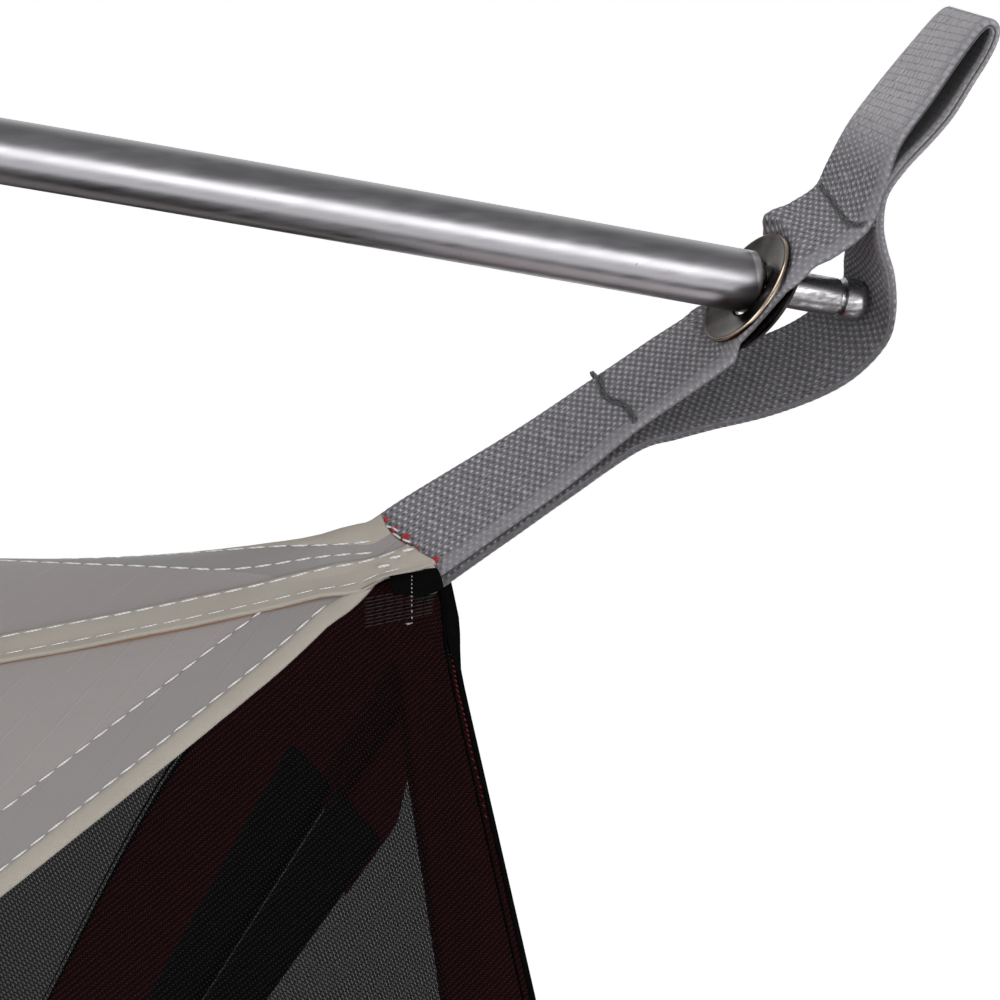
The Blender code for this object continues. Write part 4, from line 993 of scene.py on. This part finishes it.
# A direction out of the patch, its stitches (from u, v, to u, v, radius), the two ends of its
# rows, and where the net's creases start and end on the net.
off_patch = Vector((-0.19, -0.84, 0.5))
patch_stitches = [(0.46 - 0.021 * step, 0.16 + 0.080 * step, 0.46 - 0.021 * (step + 0.55),
                   0.16 + 0.080 * (step + 0.55), 0.00010) for step in range(11)]
patch_stitches += [(0.10 + 0.02 * step, 0.97 + 0.015 * step, 0.24, 0.98, 0.00008) for step in range(3)]
patch_rows = (
    (0.5494, -0.0028, 0.9485, 0.5552, -0.0049, 0.9503), (0.5487, -0.0058, 0.9489, 0.5557, -0.0058, 0.9494),
    (0.5490, -0.0066, 0.9474, 0.5560, -0.0063, 0.9478), (0.5493, -0.0074, 0.9458, 0.5562, -0.0068, 0.9460),
    (0.5495, -0.0088, 0.9438, 0.5563, -0.0080, 0.9440))
crease_ends = (((0.0045, 0.475), (0.0089, 0.576)), ((0.0183, 0.017), (0.0223, 0.119)))


def patch_spot(u, v, out=0.0):
    """A place on the patch, u from its far side (0) to the wall's side (1) and v downwards."""
    row = through(patch_rows, v)
    return Vector(row[:3]).lerp(Vector(row[3:]), u) + off_patch * out


def seam_spot(t, inward, way, out=0.0):
    """A place on the corner net, so far in from the wall's seam."""
    edge, inside = mesh_point(t, 1.0, way), mesh_point(t, 0.9, way)
    away = (inside - edge).normalized()
    along = (mesh_point(t + 0.004, 1.0, way) - edge).normalized()
    normal = along.cross(away).normalized()
    return edge + away * inward + normal * (out if normal.y < 0 else -out)


for end, side_y in tent_ends:
    for hand, side_x in hands:
        way = -side_x * side_y
        if way < 0:
            def patch_shape(u, v):
                return flipped(patch_spot(u, (0.46 + 0.14 * math.sin(2.5 * u)) * v), side_x, side_y)
            patch = piece(f"corner_patch_{hand}", formed(14, 14, patch_shape), patch_look)
            thicken(patch, 0.0004)
            column = [(patch_spot(u, v, 0.0004), patch_spot(to_u, to_v, 0.0004), thick)
                      for u, v, to_u, to_v, thick in patch_stitches]
            sewn_row(f"patch_stitches_{hand}", column, grey_white_thread, turned=(side_x, side_y))
            creases = []
            for step in range(9):
                first, last = [mesh_point(*top, way).lerp(mesh_point(*low, way), step / 8)
                               for top, low in crease_ends]
                for place in range(7):
                    spots = [first.lerp(last, part / 7) + off_patch * 0.0007
                             for part in (place - 0.1, place + 1.1)]
                    creases.append((*spots, 0.00007))
            sewn_row(f"net_creases_{hand}", creases, crease_look, turned=(side_x, side_y))
        for name, first, last in (("binding", -0.0007, 0.0010), ("hem", 0.0026, 0.0030)):
            def bound(u, v):
                t = 0.0015 + 0.9985 * v ** 1.5
                angle = math.tau * u
                reach_in = last + (0.0020 * (1 - eased(t, 0.009, 0.014)) if first < 0 else 0.0)
                inward = (first + reach_in) / 2 + (reach_in - first) / 2 * math.cos(angle)
                return flipped(seam_spot(t, inward, way, 0.0005 * math.sin(angle)), side_x, side_y)
            piece(f"net_{name}_{end}_{hand}", formed(8, 150, bound, capped=True), patch_look)
        t, row_of = 0.0085, []
        while t < 0.030:
            lean = 0.0002 * math.sin(t * 900)
            row_of.append((seam_spot(t, 0.0013 + lean, way, 0.0002),
                           seam_spot(t + 0.0001, 0.0020 + lean, way, 0.0002), 0.00009))
            t += 0.0006 + 0.08 * max(t - 0.02, 0.0)
        sewn_row(f"net_stitches_{end}_{hand}", row_of, dull_red_thread, turned=(side_x, side_y))


# Door walls. Dark red brushed polyester round each door, cut from one piece: a strip along
# the hinge seam, one above the slanting zip and one below the bottom zip.

# The door's corners in (y, z): its three lines run from one to the next, with the door on the right.
door_top, door_far, door_near = Vector((0.035, 0.905)), Vector((0.8858, 0.135)), Vector((-0.35, 0.135))


def wall_point(y, z, out=0.0):
    return Vector((wall_x(z), y, z)) + Vector((1.0, 0.0, 0.05)).normalized() * out


def wall_spot(line, along, away, out):
    """A place on the wall: metres along a line in it, to the left of it, and out of the wall."""
    run = (line[1] - line[0]).normalized()
    flat = line[0] + run * along + Vector((-run.y, run.x)) * away
    return wall_point(flat.x, flat.y, out)


def beside(first, last, away):
    """A line in the wall moved to the left of its run."""
    run = (last - first).normalized()
    return first + Vector((-run.y, run.x)) * away, last + Vector((-run.y, run.x)) * away


def cut_along(work, line):
    """Score a flat mesh laid in (y, z) along a line."""
    run = (line[1] - line[0]).normalized()
    bmesh.ops.bisect_plane(work, geom=work.verts[:] + work.edges[:] + work.faces[:], dist=1e-6,
                           plane_co=(line[0].x, line[0].y, 0), plane_no=(-run.y, run.x, 0))


def left_of(line, spot):
    run = line[1] - line[0]
    return run.x * (spot.y - line[0].y) - run.y * (spot.x - line[0].x)


cloth_red, tree, surface = new_look("wall_cloth_red", (0.16, 0.010, 0.012), 0.8, specular=0.15)
brushed = fuzz(tree, 1500.0, 2.0)
worn = fuzz(tree, 14.0, 5.0)
tone = mixed(tree, brushed, (0.23, 0.016, 0.018), (0.40, 0.034, 0.038))
painted(surface, mixed(tree, calc(tree, "MULTIPLY", worn, 0.35), tone, (0.26, 0.024, 0.027)))
bumped(surface, calc(tree, "ADD", brushed, calc(tree, "MULTIPLY", worn, 20.0)), 0.3, 0.0002)
through_mix(tree, 0.06, surface, node(tree, "BsdfTranslucent", {0: (0.45, 0.04, 0.045)}))
door_net = net_look("door_net", (0.0030, 0.0028, 0.0030), (0.22, 0.62, 0.0, 0.80), 0.00085)

slant_line = (door_top, door_far)
bottom_line = (door_far, door_near)
hinge_line = (door_near, door_top)
tape_out, wall_foot, wall_half = 0.0145, 0.0985, 1.0605
for hand, side in hands:
    def flat_wall(u, v):
        y = wall_half * (2 * u - 1)
        top = max(seam_height(y), 0.1002)
        return Vector((y, wall_foot + (top - wall_foot) * v, 0.0))
    work = formed(110, 44, flat_wall)
    cuts = [beside(*slant_line, 0.0012), beside(*bottom_line, tape_out), beside(*hinge_line, 0.0004)]
    for line in cuts:
        cut_along(work, line)
    gone = [face for face in work.faces
            if all(left_of(line, face.calc_center_median()) < 0 for line in cuts)]
    bmesh.ops.delete(work, geom=gone, context="FACES")
    charted(work, lambda at: (at.x, at.y))

    def puffed(at):
        edge = min(1.0, (seam_height(at.x) - at.y) / 0.05, (at.y - wall_foot) / 0.03)
        for line in cuts:
            edge = min(edge, abs(left_of(line, at)) / (line[1] - line[0]).length / 0.04)
        puff = 0.0015 * max(edge, 0.0) * noise.noise(Vector((at.x * 8, at.y * 8, 4.0)))
        return flipped(wall_point(at.x, at.y, puff), side, side)
    moved(work, puffed)
    bmesh.ops.recalc_face_normals(work, faces=work.faces)
    wall = piece("door_wall_" + hand, work, cloth_red)
    stand_in("side_wall_" + hand)


# Seam strips. A red strip inside each wall covers the zip's gap above its end stop, and
# another one the seam that the door hangs on.
for hand, side in hands:
    for name, line, low, high, run_to in (("zip_cover", slant_line, -0.0030, 0.0045, 0.094),
                                          ("hinge_strip", hinge_line, 0.0020, 0.0050, 1.0)):
        reached = min(run_to, (line[1] - line[0]).length)

        def strip(u, v):
            spot = wall_spot(line, (reached + 0.008) * v - 0.004, low + (high - low) * u, -0.0006)
            return flipped(spot, side, side)
        made = piece(name + "_" + hand, formed(4, 60, strip), cloth_red)
        thicken(made, 0.0004)


# Doors. A triangle of net on each side, hemmed with the red cloth along its hinge seam and
# its lower edge, with its half of the zips on the other two.
for hand, side in hands:
    lines = [beside(*slant_line, -0.0006), beside(*bottom_line, -0.0006), beside(*hinge_line, -0.0004)]
    panel = bmesh.new()
    bmesh.ops.create_grid(panel, x_segments=90, y_segments=60, size=1.0)
    moved(panel, lambda at: Vector((0.268 + at.x * 0.63, 0.52 + at.y * 0.40, 0.0)))
    hem = beside(*bottom_line, -0.030)
    corner_cut = (Vector((0.0308, 0.8940)), Vector((0.0503, 0.8696)))
    for line in lines:
        cut_along(panel, line)
        outside = [face for face in panel.faces if left_of(line, face.calc_center_median()) > 0]
        bmesh.ops.delete(panel, geom=outside, context="FACES")
    under_tape = beside(*slant_line, -0.0149)
    for line in (hem, corner_cut, under_tape):
        cut_along(panel, line)
    charted(panel, lambda at: (at.x, at.y))
    for face in panel.faces:
        middle = face.calc_center_median()
        in_corner = (left_of(corner_cut, middle) > 0 and middle.x < 0.105
                     and (middle.x < 0.0503 or left_of(under_tape, middle) > 0))
        face.material_index = 1 if left_of(hem, middle) > 0 or in_corner else 0

    def sagging(at):
        edge = min(1.0, *[abs(left_of(line, at)) / (line[1] - line[0]).length / 0.06 for line in lines])
        sag = 0.003 * edge * noise.noise(Vector((at.x * 5, at.y * 5, 9.0)))
        return flipped(wall_point(at.x, at.y, sag), side, side)
    moved(panel, sagging)
    bmesh.ops.recalc_face_normals(panel, faces=panel.faces)
    door = piece("door_panel_" + hand, panel, door_net, "door_" + hand)
    door.data.materials.append(cloth_red)
    stand_in("door_" + hand)


# Zips. A fine coil on black tape, half of it sewn to the wall and half to the door; each coil
# is a row of bent nylon teeth.
zip_look, tree, surface = new_look("zip_tape_black", (0.012, 0.011, 0.012), 0.75)
laid = parts(tree, coords(tree, "UV"))
ribs = calc(tree, "SINE", calc(tree, "MULTIPLY", laid[1], math.tau / 0.0011))
picks = calc(tree, "SINE", calc(tree, "MULTIPLY", laid[0], math.tau / 0.0008))
knit = calc(tree, "MULTIPLY", ribs, picks)
painted(surface, mixed(tree, ranged(tree, knit, 0.2, 1.0), (0.010, 0.0095, 0.010), (0.030, 0.029, 0.031)))
bumped(surface, knit, 0.5, 0.00015)
coil_look, tree, surface = new_look("zip_coil_nylon", (0.015, 0.015, 0.017), 0.35)
wear = fuzz(tree, 700.0)
painted(surface, mixed(tree, wear, (0.010, 0.010, 0.011), (0.034, 0.034, 0.038)))


zip_width, teeth = 0.0139, 900


def zip_half(line, first, last, way, side, name, body, slanted=0.0):
    """The tape and coil on one side of a parting line; way is 1 on the wall and -1 on the door.

    They stop short of the line's ends by first and last, the tape on a slant at its first end."""
    last = (line[1] - line[0]).length - last

    def tape_form(u, v):
        start = first + slanted * way * zip_width * u
        spot = wall_spot(line, start + (last - start) * v, way * (0.0011 + zip_width * u), -0.0007)
        return flipped(spot, side, side)
    work = formed(6, 60, tape_form, lambda u, v: ((last - first) * v, zip_width * u))
    tape = piece(name + "_tape", work, zip_look, body)
    thicken(tape, 0.0006)

    def coil_form(u, v):
        tooth = 0.00022 * (1 if round(v * teeth) % 2 else -1)
        angle = math.tau * u
        spot = wall_spot(line, first + (last - first) * v, way * (0.00150 + tooth + 0.00105 * math.cos(angle)),
                         0.00095 * math.sin(angle))
        return flipped(spot, side, side)
    piece(name + "_coil", formed(6, teeth, coil_form, capped=True), coil_look, body)
    return tape


for hand, side in hands:
    slant = zip_half(slant_line, 0.086, 0.0, 1, side, "slant_zip_wall_" + hand, "tent", 2.9)
    bottom = zip_half(bottom_line, 0.0, 0.0, 1, side, "bottom_zip_wall_" + hand, "tent")
    zip_half(slant_line, 0.079, 0.052, -1, side, "slant_zip_door_" + hand, "door_" + hand, 2.6)
    zip_half(bottom_line, 0.052, 0.016, -1, side, "bottom_zip_door_" + hand, "door_" + hand)
    row_of = []
    for depth in (0.0030, 0.0120):
        for step in range(int(1.0 / 0.0032)):
            start = 0.082 - 2.6 * depth * 0.8 + 0.0032 * step
            row_of.append((*[wall_spot(slant_line, along, -depth, -0.0002) for along in (start, start + 0.002)],
                           0.00016))
    sewn_row("zip_stitches_" + hand, row_of, dull_red_thread, "door_" + hand, (side, side))
    stand_in("slant_zip_" + hand)
    stand_in("bottom_zip_" + hand)


# Zip sliders and pulls. Die-cast and black-nickel plated, parked near each door's far corner,
# where its two zips meet; their shape is the CAD's.
slider_look, tree, surface = new_look("black_nickel", (0.06, 0.06, 0.065), 0.36, 1.0)
cast = fuzz(tree, 900.0, 3.0)
painted(surface, mixed(tree, ranged(tree, cast, 0.4, 0.7), (0.045, 0.045, 0.05), (0.14, 0.135, 0.13)))
bumped(surface, cast, 0.15, 0.00008)
for kind in ("slider", "pull"):
    for run in ("slant", "bottom"):
        repaint(slider_look, f"{run}_{kind}_right", f"{run}_{kind}_left")


# Floor tub. Coated dark red polyester, one sheet turned up at the sides to a low wall with
# round corners.
tub_look, tree, surface = new_look("coated_floor_cloth", (0.06, 0.009, 0.010), 0.42)
creases = node(tree, "TexNoise", {"Vector": coords(tree), "Scale": 9.0, "Detail": 6.0,
                                  "Distortion": 0.6}).outputs[0]
fine = fuzz(tree, 1800.0, 1.0)
tone = mixed(tree, creases, (0.050, 0.007, 0.008), (0.090, 0.014, 0.015))
painted(surface, mixed(tree, calc(tree, "MULTIPLY", fine, 0.3), tone, (0.12, 0.024, 0.024)))
painted(surface, ranged(tree, creases, 0.3, 0.7, 0.36, 0.52), "Roughness")
bumped(surface, calc(tree, "ADD", calc(tree, "MULTIPLY", creases, 10.0), fine), 0.35, 0.0004)


tub_half, tub_lean, tub_round, tub_height, turn_up = (0.612, 1.078), (0.0134, 0.016), 0.012, 0.098, 0.86


def tub_shape(u, v):
    """The floor up to turn_up of the grid, then the sides, which lean in and have round corners."""
    a, b = 2 * u - 1, 2 * v - 1
    reach = max(abs(a), abs(b))
    wall = min(max((reach - turn_up) / 0.14, 0.0), 1.0)
    lean = [half - lost * wall for half, lost in zip(tub_half, tub_lean)]
    if reach > turn_up:
        x, y = a / reach * lean[0], b / reach * lean[1]
        dx, dy = abs(x) - (lean[0] - tub_round), abs(y) - (lean[1] - tub_round)
        if dx > 0 and dy > 0:
            away = math.hypot(dx, dy)
            fit = tub_round / away if away > tub_round else 1.0
            x = math.copysign(lean[0] - tub_round + dx * fit, x)
            y = math.copysign(lean[1] - tub_round + dy * fit, y)
        z = tub_height * wall
        x += 0.0012 * math.sin(math.pi * wall) * noise.noise(Vector((x * 9, y * 9, z * 5)))
    else:
        x, y, z = a / turn_up * tub_half[0], b / turn_up * tub_half[1], 0.0
    return Vector((x, y, z + 0.0009))


work = formed(120, 160, tub_shape)
bmesh.ops.remove_doubles(work, verts=work.verts, dist=1e-6)
bmesh.ops.recalc_face_normals(work, faces=work.faces)
tub = piece("floor_tub_cloth", work, tub_look)
thicken(tub, 0.0008)
stand_in("floor_tub")


# Moulded parts. Black acetal hubs, the clamp where the poles cross and the canopy clips; their
# shape is the CAD's.
moulded_look, tree, surface = new_look("moulded_acetal", (0.018, 0.018, 0.019), 0.42)
pebble = fuzz(tree, 2200.0, 2.0)
rubs = fuzz(tree, 160.0, 5.0)
painted(surface, mixed(tree, ranged(tree, rubs, 0.5, 0.75), (0.016, 0.016, 0.017), (0.055, 0.054, 0.054)))
painted(surface, ranged(tree, rubs, 0.3, 0.7, 0.36, 0.55), "Roughness")
bumped(surface, pebble, 0.2, 0.00008)
repaint(moulded_look, "hub_front", "hub_back", "pole_crossing_clamp", "ridge_clip_front", "ridge_clip_back",
        "hub_clip_front", "hub_clip_back",
        *[f"leg_clip_{end}_{hand}" for end in ("front", "back") for hand in ("right", "left")])


# Corner tabs. The same grey webbing at the tub's corners, with a hole for the leg's tip and
# one for a stake.
for end, side_y in tent_ends:
    for hand, side_x in hands:
        node_name = f"corner_tab_{end}_{hand}"
        work = bmesh.new()
        work.from_mesh(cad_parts[node_name].data)
        bmesh.ops.remove_doubles(work, verts=work.verts, dist=1e-6)

        def tab_chart(at):
            dx, dy = (abs(at.x) - 0.6085) * 0.7, (abs(at.y) - 1.0745) * 0.7
            return dx + dy, dx - dy
        charted(work, tab_chart)
        made = piece("corner_strap_%s_%s" % (end, hand), work, webbing_look)
        made.data.set_sharp_from_angle(angle=math.radians(35))
        stand_in(node_name)
